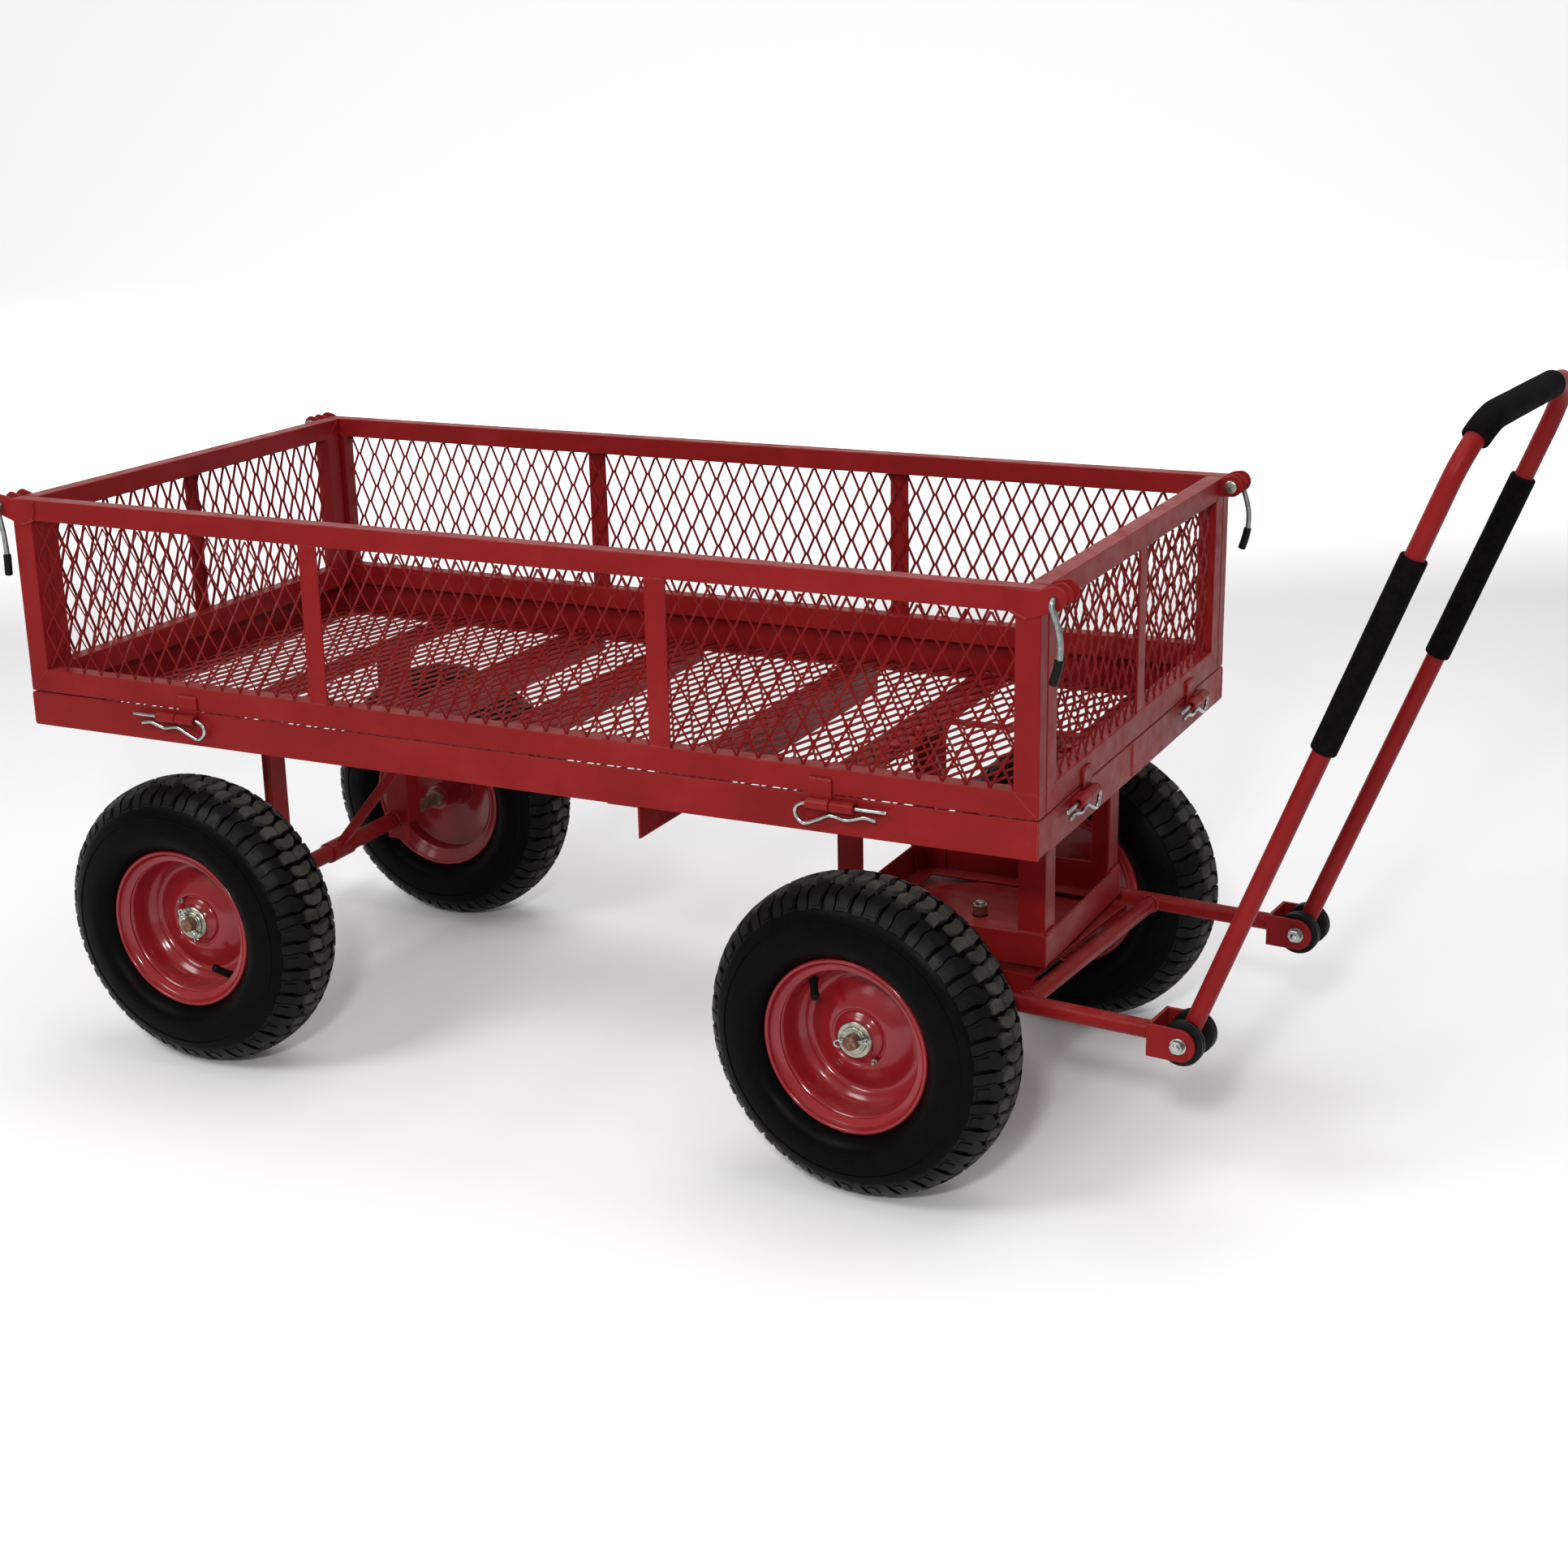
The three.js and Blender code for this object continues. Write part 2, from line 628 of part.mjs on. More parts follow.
/** A hollow tyre, open between its beads where the rim closes it. */
function tyre() {
  const bead = beadSeat + gap;
  const outer = mirrored([[bead, 33.4], [95.5, 39], [105, 52]], tyreArch(102, wheelRadius, tyreHalf, 0.17, 6));
  const inner = mirrored([[bead, 24]], tyreArch(104, wheelRadius - 10, tyreHalf - 9, 0.12, 4));
  return turned([...outer, ...inner.reverse()], wheelSides);
}

/** A deep-dished steel rim with its hub tube, outboard side at +Y. */
function rim() {
  const wall = 4;
  return turned([
    [boreRadius, hubInner], [16, hubInner], [16, 2], [62, -6], [beadSeat - wall, -32],
    [rimRadius - 3, -flangeY], [rimRadius, -flangeY + 2.5], [beadSeat, -34], [beadSeat, 34],
    [rimRadius, flangeY - 2.5], [rimRadius - 3, flangeY], [beadSeat - wall, 32], [67, 0],
    [58, -1], [27, 12], [17, 14], [17, hubOuter], [boreRadius, hubOuter],
  ], wheelSides);
}

/** A short rubber valve stem that leans out of the rim's dish. */
function valveStem() {
  return bar(vec(66.5, 7.8, 0), vec(46, 27, 0), 3.8, 6);
}

/** Wheel, washer and cotter pin on one end of an axle; side is -1 for the right. */
function placeWheel(parent, name, side, valveTurn, cotterTurn) {
  const wheel = new THREE.Group();
  wheel.position.set(0, side * track / 2, hubZ);
  if (side < 0) wheel.rotation.z = Math.PI;
  parent.add(wheel);
  place(wheel, `${name}_rim`, rim(), rimPaint);
  place(wheel, `${name}_tyre`, tyre(), rubber);
  place(wheel, `${name}_valve_stem`, valveStem().rotateY(valveTurn), rubber);
  place(wheel, `${name}_axle_washer`, washer(18, boreRadius, hubOuter + gap, hubOuter + 3), zinc);
  const cotter = cotterPin().rotateY(cotterTurn).translate(0, hubOuter + 6.5, 0);
  place(wheel, `${name}_cotter_pin`, cotter, zinc);
}
const rearWheels = new THREE.Group();
rearWheels.position.x = rearAxleX;
deck.add(rearWheels);
placeWheel(rearWheels, 'rear_right', -1, 2.187, rearCotterTurns[0]);
placeWheel(rearWheels, 'rear_left', 1, 2.4, rearCotterTurns[1]);

// ---- Steering: bolster, front axle and drawbar ----------------------------------------------
const steering = new THREE.Group();
steering.position.x = frontAxleX;
steering.rotation.z = steerRest;
deck.add(steering);

const bolsterHalf = 122;
const bolsterFoot = hubZ - 18;

/** A square plate with turned-down sides, which the axle runs through. */
function bolster() {
  const pieces = [block(-bolsterHalf, bolsterHalf, -bolsterHalf, bolsterHalf, bolsterTop - bolsterPlate, bolsterTop)];
  for (const s of sides) {
    const y = s * bolsterHalf;
    const shape = [
      [-30, bolsterFoot], [30, bolsterFoot], [bolsterHalf, bolsterTop - 26],
      [bolsterHalf, bolsterTop - 1], [-bolsterHalf, bolsterTop - 1], [-bolsterHalf, bolsterTop - 26],
    ];
    pieces.push(plate(shape, 'y', y, y - s * 4));
  }
  return joined(pieces, [
    bar(vec(0, -200, hubZ), vec(0, 200, hubZ), boreRadius, 12),
    bar(vec(0, 0, 100), vec(0, 0, 300), kingpinRadius + 2 * gap, 12),
  ]);
}
place(steering, 'steering_bolster', bolster(), paint);
place(steering, 'front_axle', axle(frontCotterTurns).translate(0, 0, hubZ), bareSteel);
placeWheel(steering, 'front_right', -1, -0.8, frontCotterTurns[0]);
placeWheel(steering, 'front_left', 1, 1.1, frontCotterTurns[1]);

const clevisHalf = 26; // outer face of a clevis plate, from the side tube's centre
const clevisPlate = 4;
const clevisBack = 277;
const clevisHigh = 17;
const pivotBolt = 5;

/** A U-shaped clevis round the handle's end: two rounded plates joined across the back. */
function clevisPieces(y) {
  const z = drawbarZ;
  const outline = [
    [clevisBack, z - clevisHigh],
    ...arc(handlePivotX, z, clevisHigh, -90, 90, 6),
    [clevisBack, z + clevisHigh],
  ];
  return [
    plate(outline, 'y', y - clevisHalf, y - clevisHalf + clevisPlate),
    plate(outline, 'y', y + clevisHalf - clevisPlate, y + clevisHalf),
    block(clevisBack - 1, clevisBack + clevisPlate, y - clevisHalf, y + clevisHalf, z - clevisHigh, z + clevisHigh),
  ];
}

/** Side tubes from the axle to the clevises, a cross tube and four welded lugs. */
function drawbarFrame() {
  const z = drawbarZ;
  const rear = -24;
  const pieces = [];
  const tools = [];
  for (const s of sides) {
    const y = s * drawbarHalf;
    pieces.push(bar(vec(rear, y, z), vec(clevisBack + 1, y, z), tubeRadius, 12));
    tools.push(bar(vec(rear - 5, y, z), vec(clevisBack - 6, y, z), tubeBore, 12));
    pieces.push(...clevisPieces(y));
    pieces.push(plate([[-14, hubZ - 15], [14, hubZ - 15], [20, z - 6], [-20, z - 6]], 'y', y - 3, y + 3));
    tools.push(bar(vec(0, y - 20, hubZ), vec(0, y + 20, hubZ), boreRadius, 12));
    const inside = s * (bolsterHalf - 4 - gap);
    pieces.push(block(crossTubeX - 34, crossTubeX, inside, inside - s * 5, z - 10, z + 3));
    tools.push(bar(vec(handlePivotX, y - 40, z), vec(handlePivotX, y + 40, z), pivotBolt + gap, 10));
  }
  pieces.push(bar(vec(crossTubeX, -drawbarHalf, z), vec(crossTubeX, drawbarHalf, z), tubeRadius - 0.4, 12));
  return joined(pieces, tools);
}
place(steering, 'drawbar_frame', drawbarFrame(), paint);

/** A cap screw across a clevis: a round head outside one plate and a nut outside the other. */
function pivotBoltSet() {
  const end = clevisHalf + gap;
  return joined([
    bar(vec(0, -end - 3, 0), vec(0, end + 3, 0), pivotBolt, 12),
    bar(vec(0, -end - 6, 0), vec(0, -end, 0), 8.5, 12),
    bar(vec(0, end, 0), vec(0, end + 7, 0), 9, 6),
  ]);
}

// ---- Handle -------------------------------------------------------------------------------
const handle = new THREE.Group();
handle.position.set(handlePivotX, 0, drawbarZ);
handle.rotation.y = Math.PI / 2 - handleLean;
steering.add(handle);

const legTop = handleLength - handleBend;
const discStart = tubeRadius + 0.6;
const discEnd = clevisHalf - clevisPlate - gap;

for (const [side, name] of [[-1, 'right'], [1, 'left']]) {
  const y = side * drawbarHalf;
  const bolt = pivotBoltSet();
  if (side > 0) bolt.scale(1, -1, 1);
  place(steering, `${name}_pivot_bolt`, bolt.translate(handlePivotX, y, drawbarZ), zinc);
  for (const [hand, where] of [[-1, 'outer'], [1, 'inner']]) {
    const ring = washer(frictionDisc, pivotBolt + gap, discStart, discEnd, 16);
    if (hand * side > 0) ring.scale(1, -1, 1);
    place(handle, `${name}_${where}_friction_disc`, ring.translate(0, y, 0), rubber);
  }
}

/** One bent tube: up one leg, across the grip and down the other, with a bolt hole each end. */
function handleTube() {
  const corners = [
    vec(0, -drawbarHalf, -11), vec(0, -drawbarHalf, handleLength),
    vec(0, drawbarHalf, handleLength), vec(0, drawbarHalf, -11),
  ];
  const tube = sweep(roundedPath(corners, handleBend, 4), tubeRadius, tubeBore, 10);
  const hole = bar(vec(0, -250, 0), vec(0, 250, 0), pivotBolt + gap, 10);
  return joined([tube], [hole]);
}
place(handle, 'handle_tube', handleTube(), paint);

const sleeveBore = tubeRadius + 1.3;
for (const [side, name, low, high] of [[-1, 'right', 333, 535], [1, 'left', 347, 552]]) {
  const sleeve = washer(gripRadius - 0.5, sleeveBore, low, high, 10).rotateX(Math.PI / 2);
  place(handle, `${name}_leg_sleeve`, sleeve.translate(0, side * drawbarHalf, 0), foam);
}

/** The foam grip: it starts on the right-hand bend and stops short of the left-hand one. */
function foamGrip() {
  const centreY = -(drawbarHalf - handleBend);
  const points = arc(centreY, legTop, handleBend, 135, 90, 2).map(([y, z]) => vec(0, y, z));
  points.push(vec(0, 80, handleLength));
  return sweep(points, gripRadius, sleeveBore, 10);
}
place(handle, 'foam_grip', foamGrip(), foam);

export default wagon;
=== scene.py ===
"""Looks for a steel mesh garden wagon: wheels, tubes, wire, foam, expanded metal, paint and welds.

Shapes are built in millimetres and scaled to metres once, in piece(). The places given to piece(), the
camera, the lights and the floor are in metres.
"""
import json
import math

import bpy
import numpy as np
from mathutils import Matrix, Vector, noise


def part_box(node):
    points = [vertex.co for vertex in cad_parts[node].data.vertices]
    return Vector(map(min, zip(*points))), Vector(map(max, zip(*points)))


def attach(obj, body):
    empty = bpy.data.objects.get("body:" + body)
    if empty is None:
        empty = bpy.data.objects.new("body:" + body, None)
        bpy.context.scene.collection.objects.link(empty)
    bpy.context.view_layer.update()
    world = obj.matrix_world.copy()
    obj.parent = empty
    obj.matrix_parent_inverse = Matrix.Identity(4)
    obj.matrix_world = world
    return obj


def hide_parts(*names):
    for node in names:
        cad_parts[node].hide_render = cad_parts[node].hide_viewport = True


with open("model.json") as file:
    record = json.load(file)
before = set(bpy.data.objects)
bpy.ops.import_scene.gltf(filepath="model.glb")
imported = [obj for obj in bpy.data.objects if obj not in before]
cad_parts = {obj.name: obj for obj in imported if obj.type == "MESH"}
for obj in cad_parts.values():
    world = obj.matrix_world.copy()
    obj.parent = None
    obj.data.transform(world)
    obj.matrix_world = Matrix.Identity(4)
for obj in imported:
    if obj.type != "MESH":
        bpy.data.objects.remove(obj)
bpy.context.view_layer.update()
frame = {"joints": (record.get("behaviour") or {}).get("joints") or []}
joints = {joint["name"]: joint for joint in frame["joints"]}
MM = 0.001

# ---- Layout, in millimetres from the point on the ground under the deck's middle -----------------
deck_low, deck_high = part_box("deck_frame")
DECK_X = (deck_low[0] + deck_high[0]) / 2
ON_DECK = Matrix.Translation((DECK_X, 0, 0))
HALF_LENGTH, HALF_WIDTH = 609.5, 305.0
DECK_TOP, RAIL_BOTTOM, FLOOR_Z, STEEL = 435.0, 396.0, 399.0, 3.0
LONG_HINGE, END_HINGE = 398.0, 185.0  # a hinge's place along its side, from the side's middle
PIVOT_OUT, PIVOT_Z, KNUCKLE = 6.5, 427.0, 26.0
PANEL_BOTTOM, PANEL_HEIGHT, PANEL_FACE, PANEL_DEPTH = 436.5, 221.5, 26.0, 20.0
TOP_FACE = 23.5  # height of a panel's top rail
END_PANEL_HALF = 283.0
LATCH_RISE = 213.5  # height of the latch pins above the panels' bottom
REAR_AXLE_X, FRONT_AXLE_X, HUB_Z = -429.0, 433.0, 170.5
SIDE_NAMES = ("right", "front", "left", "rear")  # each a quarter turn on from the one before
SIDES = (-1, 1)

# ---- Camera and light ----------------------------------------------------------------------------
CAMERA_FROM_DECK = Vector((1.3382, -2.3205, 0.7254))  # from the middle of the deck at its rail's top
LENS, SENSOR = 55.43, 36
AZIMUTH, ELEVATION, ROLL = math.radians(26.21), math.radians(17.76), math.radians(-1.116)


def add_camera():
    data = bpy.data.cameras.new("camera")
    data.lens, data.sensor_width = LENS, SENSOR
    camera = bpy.data.objects.new("camera", data)
    bpy.context.scene.collection.objects.link(camera)
    back = Vector((math.sin(AZIMUTH) * math.cos(ELEVATION),
                   -math.cos(AZIMUTH) * math.cos(ELEVATION), math.sin(ELEVATION)))
    turn = (-back).to_track_quat("-Z", "Y").to_matrix().to_4x4() @ Matrix.Rotation(ROLL, 4, "Z")
    camera.matrix_world = Matrix.Translation(CAMERA_FROM_DECK + Vector((DECK_X, 0, DECK_TOP * MM))) @ turn
    bpy.context.scene.camera = camera


def area_light(name, place, target, size, power):
    data = bpy.data.lights.new(name, "AREA")
    data.shape, data.size, data.size_y = "RECTANGLE", size[0], size[1]
    data.energy = power
    light = bpy.data.objects.new(name, data)
    bpy.context.scene.collection.objects.link(light)
    light.location = place
    light.rotation_euler = (Vector(target) - Vector(place)).to_track_quat("-Z", "Y").to_euler()


def add_light():
    world = bpy.data.worlds.new("studio")
    bpy.context.scene.world = world
    world.use_nodes = True
    world.node_tree.nodes["Background"].inputs["Color"].default_value = (1, 1, 1, 1)
    world.node_tree.nodes["Background"].inputs["Strength"].default_value = 0.5
    area_light("key", (-1.4, -2.6, 3.0), (-0.1, 0, 0.3), (1.3, 1.3), 55)
    area_light("flash", (1.0, -2.6, 1.75), (-0.1, 0, 0.3), (0.22, 0.22), 34)
    area_light("top", (0.2, 0.6, 3.4), (0, 0, 0.4), (3.0, 2.2), 55)
    area_light("backdrop", (-1.5, 3.6, 3.6), (-4.5, 9, 0.6), (5, 2), 480)


# ---- Materials -----------------------------------------------------------------------------
class Look:
    """A Principled material with object coordinates and short helpers for its nodes."""

    def __init__(self, name, **sockets):
        self.material = bpy.data.materials.new(name)
        self.material.use_nodes = True
        self.nodes = self.material.node_tree.nodes
        self.links = self.material.node_tree.links
        self.shader = self.nodes["Principled BSDF"]
        self.coordinates = self.nodes.new("ShaderNodeTexCoord").outputs["Object"]
        for socket, value in sockets.items():
            self.shader.inputs[socket.replace("_", " ")].default_value = value

    def noise(self, scale, detail=3.0, rough=0.5):
        node = self.nodes.new("ShaderNodeTexNoise")
        node.inputs["Scale"].default_value = scale
        node.inputs["Detail"].default_value = detail
        node.inputs["Roughness"].default_value = rough
        self.links.new(self.coordinates, node.inputs["Vector"])
        return node.outputs["Fac"]

    def ramp(self, value, *stops):
        """Stops are (position, colour), a colour being one number or three."""
        node = self.nodes.new("ShaderNodeValToRGB")
        ramp = node.color_ramp
        while len(ramp.elements) < len(stops):
            ramp.elements.new(0.5)
        for element, (position, colour) in zip(ramp.elements, stops):
            element.position = position
            element.color = (*colour, 1) if isinstance(colour, tuple) else (colour, colour, colour, 1)
        self.links.new(value, node.inputs["Fac"])
        return node.outputs["Color"]

    def mix(self, factor, first, second):
        node = self.nodes.new("ShaderNodeMix")
        node.data_type = "RGBA"
        self.links.new(factor, node.inputs["Factor"])
        for socket, value in (("A", first), ("B", second)):
            target = next(i for i in node.inputs if i.name == socket and i.type == "RGBA")
            if isinstance(value, tuple):
                target.default_value = (*value, 1)
            else:
                self.links.new(value, target)
        return next(o for o in node.outputs if o.type == "RGBA")

    def upward(self, low):
        """0 to 1 with how far a face looks up, from low in its normal's Z."""
        normal = self.nodes.new("ShaderNodeNewGeometry").outputs["Normal"]
        split = self.nodes.new("ShaderNodeSeparateXYZ")
        spread = self.nodes.new("ShaderNodeMapRange")
        self.links.new(normal, split.inputs["Vector"])
        self.links.new(split.outputs["Z"], spread.inputs["Value"])
        spread.inputs["From Min"].default_value = low
        spread.inputs["From Max"].default_value = 1.0
        return spread.outputs["Result"]

    def times(self, first, second):
        node = self.nodes.new("ShaderNodeMath")
        node.operation = "MULTIPLY"
        self.links.new(first, node.inputs[0])
        self.links.new(second, node.inputs[1])
        return node.outputs["Value"]

    def colour(self, value):
        self.links.new(value, self.shader.inputs["Base Color"])
        return self

    def roughness(self, value):
        self.links.new(value, self.shader.inputs["Roughness"])
        return self

    def bump(self, height, distance):
        node = self.nodes.new("ShaderNodeBump")
        node.inputs["Distance"].default_value = distance
        node.inputs["Strength"].default_value = 1.0
        self.links.new(height, node.inputs["Height"])
        self.links.new(node.outputs["Normal"], self.shader.inputs["Normal"])
        return self


# Pale colour mixed in patches onto faces that look up: partly a dusting, partly painted light that lightens
# the tops.
DUST_AND_TOP_LIGHT = (0.25, 0.08, 0.07)


def painted(name, colour, gloss, peel=0.00012, shine=0.1):
    """Powder coat: slow mottling, a light dusting plus painted light on what looks up, orange peel, uneven
    gloss.
    """
    look = Look(name, Specular_IOR_Level=shine)
    light = tuple(min(1, 1.14 * c + 0.004) for c in colour)
    dark = tuple(0.82 * c for c in colour)
    mottled = look.ramp(look.noise(9, 5, 0.62), (0.3, dark), (0.52, colour), (0.75, light))
    # Painted light: faces that look up are made paler in patches, partly a dusting, partly painted top
    # light.
    dust_and_top_light = look.times(look.upward(0.4), look.ramp(look.noise(26, 6, 0.7), (0.42, 0.0), (0.8, 0.5)))
    look.colour(look.mix(dust_and_top_light, mottled, DUST_AND_TOP_LIGHT))
    look.roughness(look.ramp(look.noise(45, 4), (0.3, gloss * 0.8), (0.7, gloss * 1.3)))
    return look.bump(look.noise(420, 2), peel).material


def metal(name, colour, dark, rough):
    look = Look(name, Metallic=1.0)
    look.colour(look.ramp(look.noise(160, 4, 0.6), (0.35, dark), (0.65, colour)))
    look.roughness(look.ramp(look.noise(352, 3), (0.3, rough * 0.75), (0.7, rough * 1.35)))
    return look.bump(look.noise(800, 2), 0.00008).material


def rusty():
    look = Look("rusty_axle", Metallic=0.55)
    patches = look.noise(210, 6, 0.7)
    brown, orange, steel = (0.10, 0.045, 0.028), (0.22, 0.11, 0.07), (0.34, 0.27, 0.23)
    look.colour(look.ramp(patches, (0.35, brown), (0.55, orange), (0.72, steel)))
    look.roughness(look.ramp(patches, (0.35, 0.85), (0.7, 0.42)))
    return look.bump(patches, 0.0003).material


def rubber(name, colour, worn, rough, shine):
    """Rubber with a greyish bloom where the blocks are worn and dusty."""
    look = Look(name, Specular_IOR_Level=shine)
    bloom = look.ramp(look.noise(38, 6, 0.66), (0.38, 0.0), (0.72, 1.0))
    look.colour(look.mix(bloom, colour, worn))
    look.roughness(look.ramp(look.noise(90, 4), (0.3, rough * 0.85), (0.7, min(1, rough * 1.2))))
    return look.bump(look.noise(700, 3), 0.00015).material


def foamed():
    """Closed-cell foam: a fine pebbled skin."""
    look = Look("foam", Specular_IOR_Level=0.05)
    cells = look.nodes.new("ShaderNodeTexVoronoi")
    cells.inputs["Scale"].default_value = 900
    look.links.new(look.coordinates, cells.inputs["Vector"])
    black, worn = (0.0016, 0.0014, 0.0013), (0.0052, 0.0045, 0.0042)
    look.colour(look.ramp(look.noise(120, 5, 0.7), (0.35, black), (0.7, worn)))
    look.roughness(look.ramp(look.noise(60), (0.3, 0.82), (0.7, 0.97)))
    return look.bump(cells.outputs["Distance"], 0.0004).material


RED = painted("red_powder_coat", (0.19, 0.0070, 0.0080), 0.36)
MESH_RED = painted("mesh_powder_coat", (0.165, 0.0068, 0.0075), 0.34)
RIM_RED = painted("rim_enamel", (0.215, 0.0075, 0.011), 0.16, peel=0.00005, shine=0.45)
WELD_RED = painted("painted_weld", (0.22, 0.016, 0.016), 0.28, peel=0.0003)
ZINC = metal("zinc_plate", (0.40, 0.40, 0.33), (0.27, 0.27, 0.22), 0.3)
WIRE = metal("bright_wire", (0.50, 0.52, 0.51), (0.30, 0.31, 0.30), 0.2)
DULL = metal("dull_wire", (0.33, 0.37, 0.36), (0.22, 0.25, 0.24), 0.38)
RUST = rusty()
TYRE = rubber("tyre_rubber", (0.0010, 0.0009, 0.0009), (0.0020, 0.0018, 0.0017), 0.4, 0.045)
# Painted light: the tyre's own rubber, its colour made a little lighter because the lugs catch the light;
# its extra shine is gloss.
LIT_SHOULDER_RUBBER = rubber("shoulder_rubber_painted_lighter", (0.0018, 0.0017, 0.0018), (0.0042, 0.0040, 0.0040), 0.4, 0.11)
TREAD = rubber("tread_rubber", (0.026, 0.025, 0.021), (0.066, 0.063, 0.053), 0.8, 0.1)
RUBBER = rubber("moulded_rubber", (0.0024, 0.0024, 0.0024), (0.0060, 0.0060, 0.0060), 0.42, 0.12)
VINYL = rubber("dipped_vinyl", (0.0018, 0.0018, 0.0018), (0.0040, 0.0040, 0.0040), 0.4, 0.14)
FOAM = foamed()


# ---- Shapes: each is a pair of lists, corners in millimetres and faces ------------------------
FLAT = Matrix.Rotation(-math.pi / 2, 4, "X")  # turns X and Z into X and Y
UPRIGHT = Matrix.Rotation(math.pi / 2, 4, "X")  # turns the Y axis of a lathed shape to Z
HALF_TURN = Matrix.Rotation(math.pi, 4, "Z")


def combined(shapes):
    corners, faces = [], []
    for shape_corners, shape_faces in shapes:
        start = len(corners)
        corners += [Vector(c) for c in shape_corners]
        faces += [tuple(start + i for i in face) for face in shape_faces]
    return corners, faces


def moved(shape, matrix):
    corners, faces = shape
    if matrix.determinant() < 0:
        faces = [tuple(reversed(face)) for face in faces]
    return [matrix @ Vector(c) for c in corners], faces


def rings_joined(rings, closed_round=True, closed_along=False):
    """Skin over a list of rings that all have the same number of corners."""
    count = len(rings[0])
    corners = [corner for ring in rings for corner in ring]
    faces = []
    spans = len(rings) if closed_along else len(rings) - 1
    for i in range(spans):
        a, b = i * count, (i + 1) % len(rings) * count
        for j in range(count if closed_round else count - 1):
            k = (j + 1) % count
            faces.append((a + j, a + k, b + k, b + j))
    if not closed_along:
        faces.append(tuple(reversed(range(count))))
        faces.append(tuple(range(len(corners) - count, len(corners))))
    return corners, faces


def lathe(section, segments):
    """A closed section of (radius, y) turned about the Y axis."""
    rings = []
    for k in range(segments):
        turn = 2 * math.pi * k / segments
        rings.append([Vector((r * math.cos(turn), y, r * math.sin(turn))) for r, y in section])
    return rings_joined(rings, closed_along=True)


def ring(outer, inner, y0, y1, segments=48, soft=0.5):
    """A washer about the Y axis with softened corners."""
    corner = [(outer - soft, y0), (outer, y0 + soft), (outer, y1 - soft), (outer - soft, y1)]
    return lathe([(inner, y0), *corner, (inner, y1)], segments)


def smooth_path(points, steps):
    """A Catmull-Rom curve through the points."""
    points = [Vector(p) for p in points]
    padded = [2 * points[0] - points[1], *points, 2 * points[-1] - points[-2]]
    path = []
    for i in range(1, len(padded) - 2):
        a, b, c, d = padded[i - 1:i + 3]
        for k in range(steps):
            t = k / steps
            path.append(0.5 * (2 * b + (c - a) * t + (2 * a - 5 * b + 4 * c - d) * t * t
                               + (3 * b - a - 3 * c + d) * t ** 3))
    return path + [points[-1]]


def sweep(path, radius, sides, soft=0.0, bore=0.0):
    """A round bar along a path. soft rounds its two ends, bore makes it a tube, and radius may be a list."""
    path = [Vector(p) for p in path]
    radii = radius if isinstance(radius, list) else [radius] * len(path)
    if soft:
        ahead, back = (path[1] - path[0]).normalized(), (path[-2] - path[-1]).normalized()
        r0, r1 = radii[0], radii[-1]
        path = [path[0], path[0] + ahead * soft * 0.3, path[0] + ahead * soft, *path[1:-1],
                path[-1] + back * soft, path[-1] + back * soft * 0.3, path[-1]]
        radii = [r0 - soft, r0 - soft * 0.3, r0, *radii[1:-1], r1, r1 - soft * 0.3, r1 - soft]
    last = len(path) - 1
    tangents = [(path[min(i + 1, last)] - path[max(i - 1, 0)]).normalized() for i in range(last + 1)]
    side = tangents[0].orthogonal().normalized()
    turns = [2 * math.pi * k / sides for k in range(sides)]
    rings, inner = [], []
    for point, tangent, r in zip(path, tangents, radii):
        side = (side - tangent * side.dot(tangent)).normalized()
        other = tangent.cross(side)
        rings.append([point + r * (math.cos(a) * side + math.sin(a) * other) for a in turns])
        inner.append([point + bore * (math.cos(a) * side + math.sin(a) * other) for a in turns])
    if bore:
        return rings_joined([*rings, *reversed(inner)], closed_along=True)
    return rings_joined(rings)


def bar(start, end, radius, sides=24, soft=0.5):
    middle = (Vector(start) + Vector(end)) / 2
    return sweep([start, middle, end], radius, sides, soft)


def block(low, high):
    corners = [(x, y, z) for x in (low[0], high[0]) for y in (low[1], high[1]) for z in (low[2], high[2])]
    return corners, [(0, 1, 3, 2), (4, 6, 7, 5), (0, 4, 5, 1), (2, 3, 7, 6), (0, 2, 6, 4), (1, 5, 7, 3)]


def box(x0, x1, y0, y1, z0, z1):
    """A block whose limits along an axis are given in any order."""
    return block((min(x0, x1), min(y0, y1), min(z0, z1)), (max(x0, x1), max(y0, y1), max(z0, z1)))


def plate(outline, y0, y1):
    """An outline in X and Z with a thickness along Y."""
    return rings_joined([[Vector((x, y, z)) for x, z in outline] for y in (y1, y0)])


def arc(u, v, radius, start, end, steps):
    turns = [math.radians(start + (end - start) * k / steps) for k in range(steps + 1)]
    return [(u + radius * math.cos(a), v + radius * math.sin(a)) for a in turns]


def hexagon(across, y0, y1):
    """A nut's outline about the Y axis, with its corners cut back at the faces."""
    corner = across / math.sqrt(3)
    turns = [math.pi / 3 * k for k in range(6)]
    rings = []
    for y, radius in ((y0, 0.9 * corner), (y0 + 0.8, corner), (y1 - 0.8, corner), (y1, 0.9 * corner)):
        rings.append([Vector((radius * math.cos(a), y, radius * math.sin(a))) for a in turns])
    return rings_joined(list(reversed(rings)))


def weld(start, end, radius):
    """A rippled bead along a joint."""
    start, end = Vector(start), Vector(end)
    length = (end - start).length
    steps = max(8, int(length / 0.8))
    path, radii = [], []
    for i in range(steps + 1):
        t = i / steps
        wobble = Vector((noise.noise(start * 0.1 + Vector((t * 9, k * 7.3, 0)))) for k in range(3))
        path.append(start.lerp(end, t) + wobble * radius * 0.22)
        ends = min(1, 0.45 + 3.5 * min(t, 1 - t) * length / 12)
        radii.append(radius * ends * (0.86 + 0.2 * abs(math.sin(math.pi * t * length / 2.6))))
    return sweep(path, radii, 10)


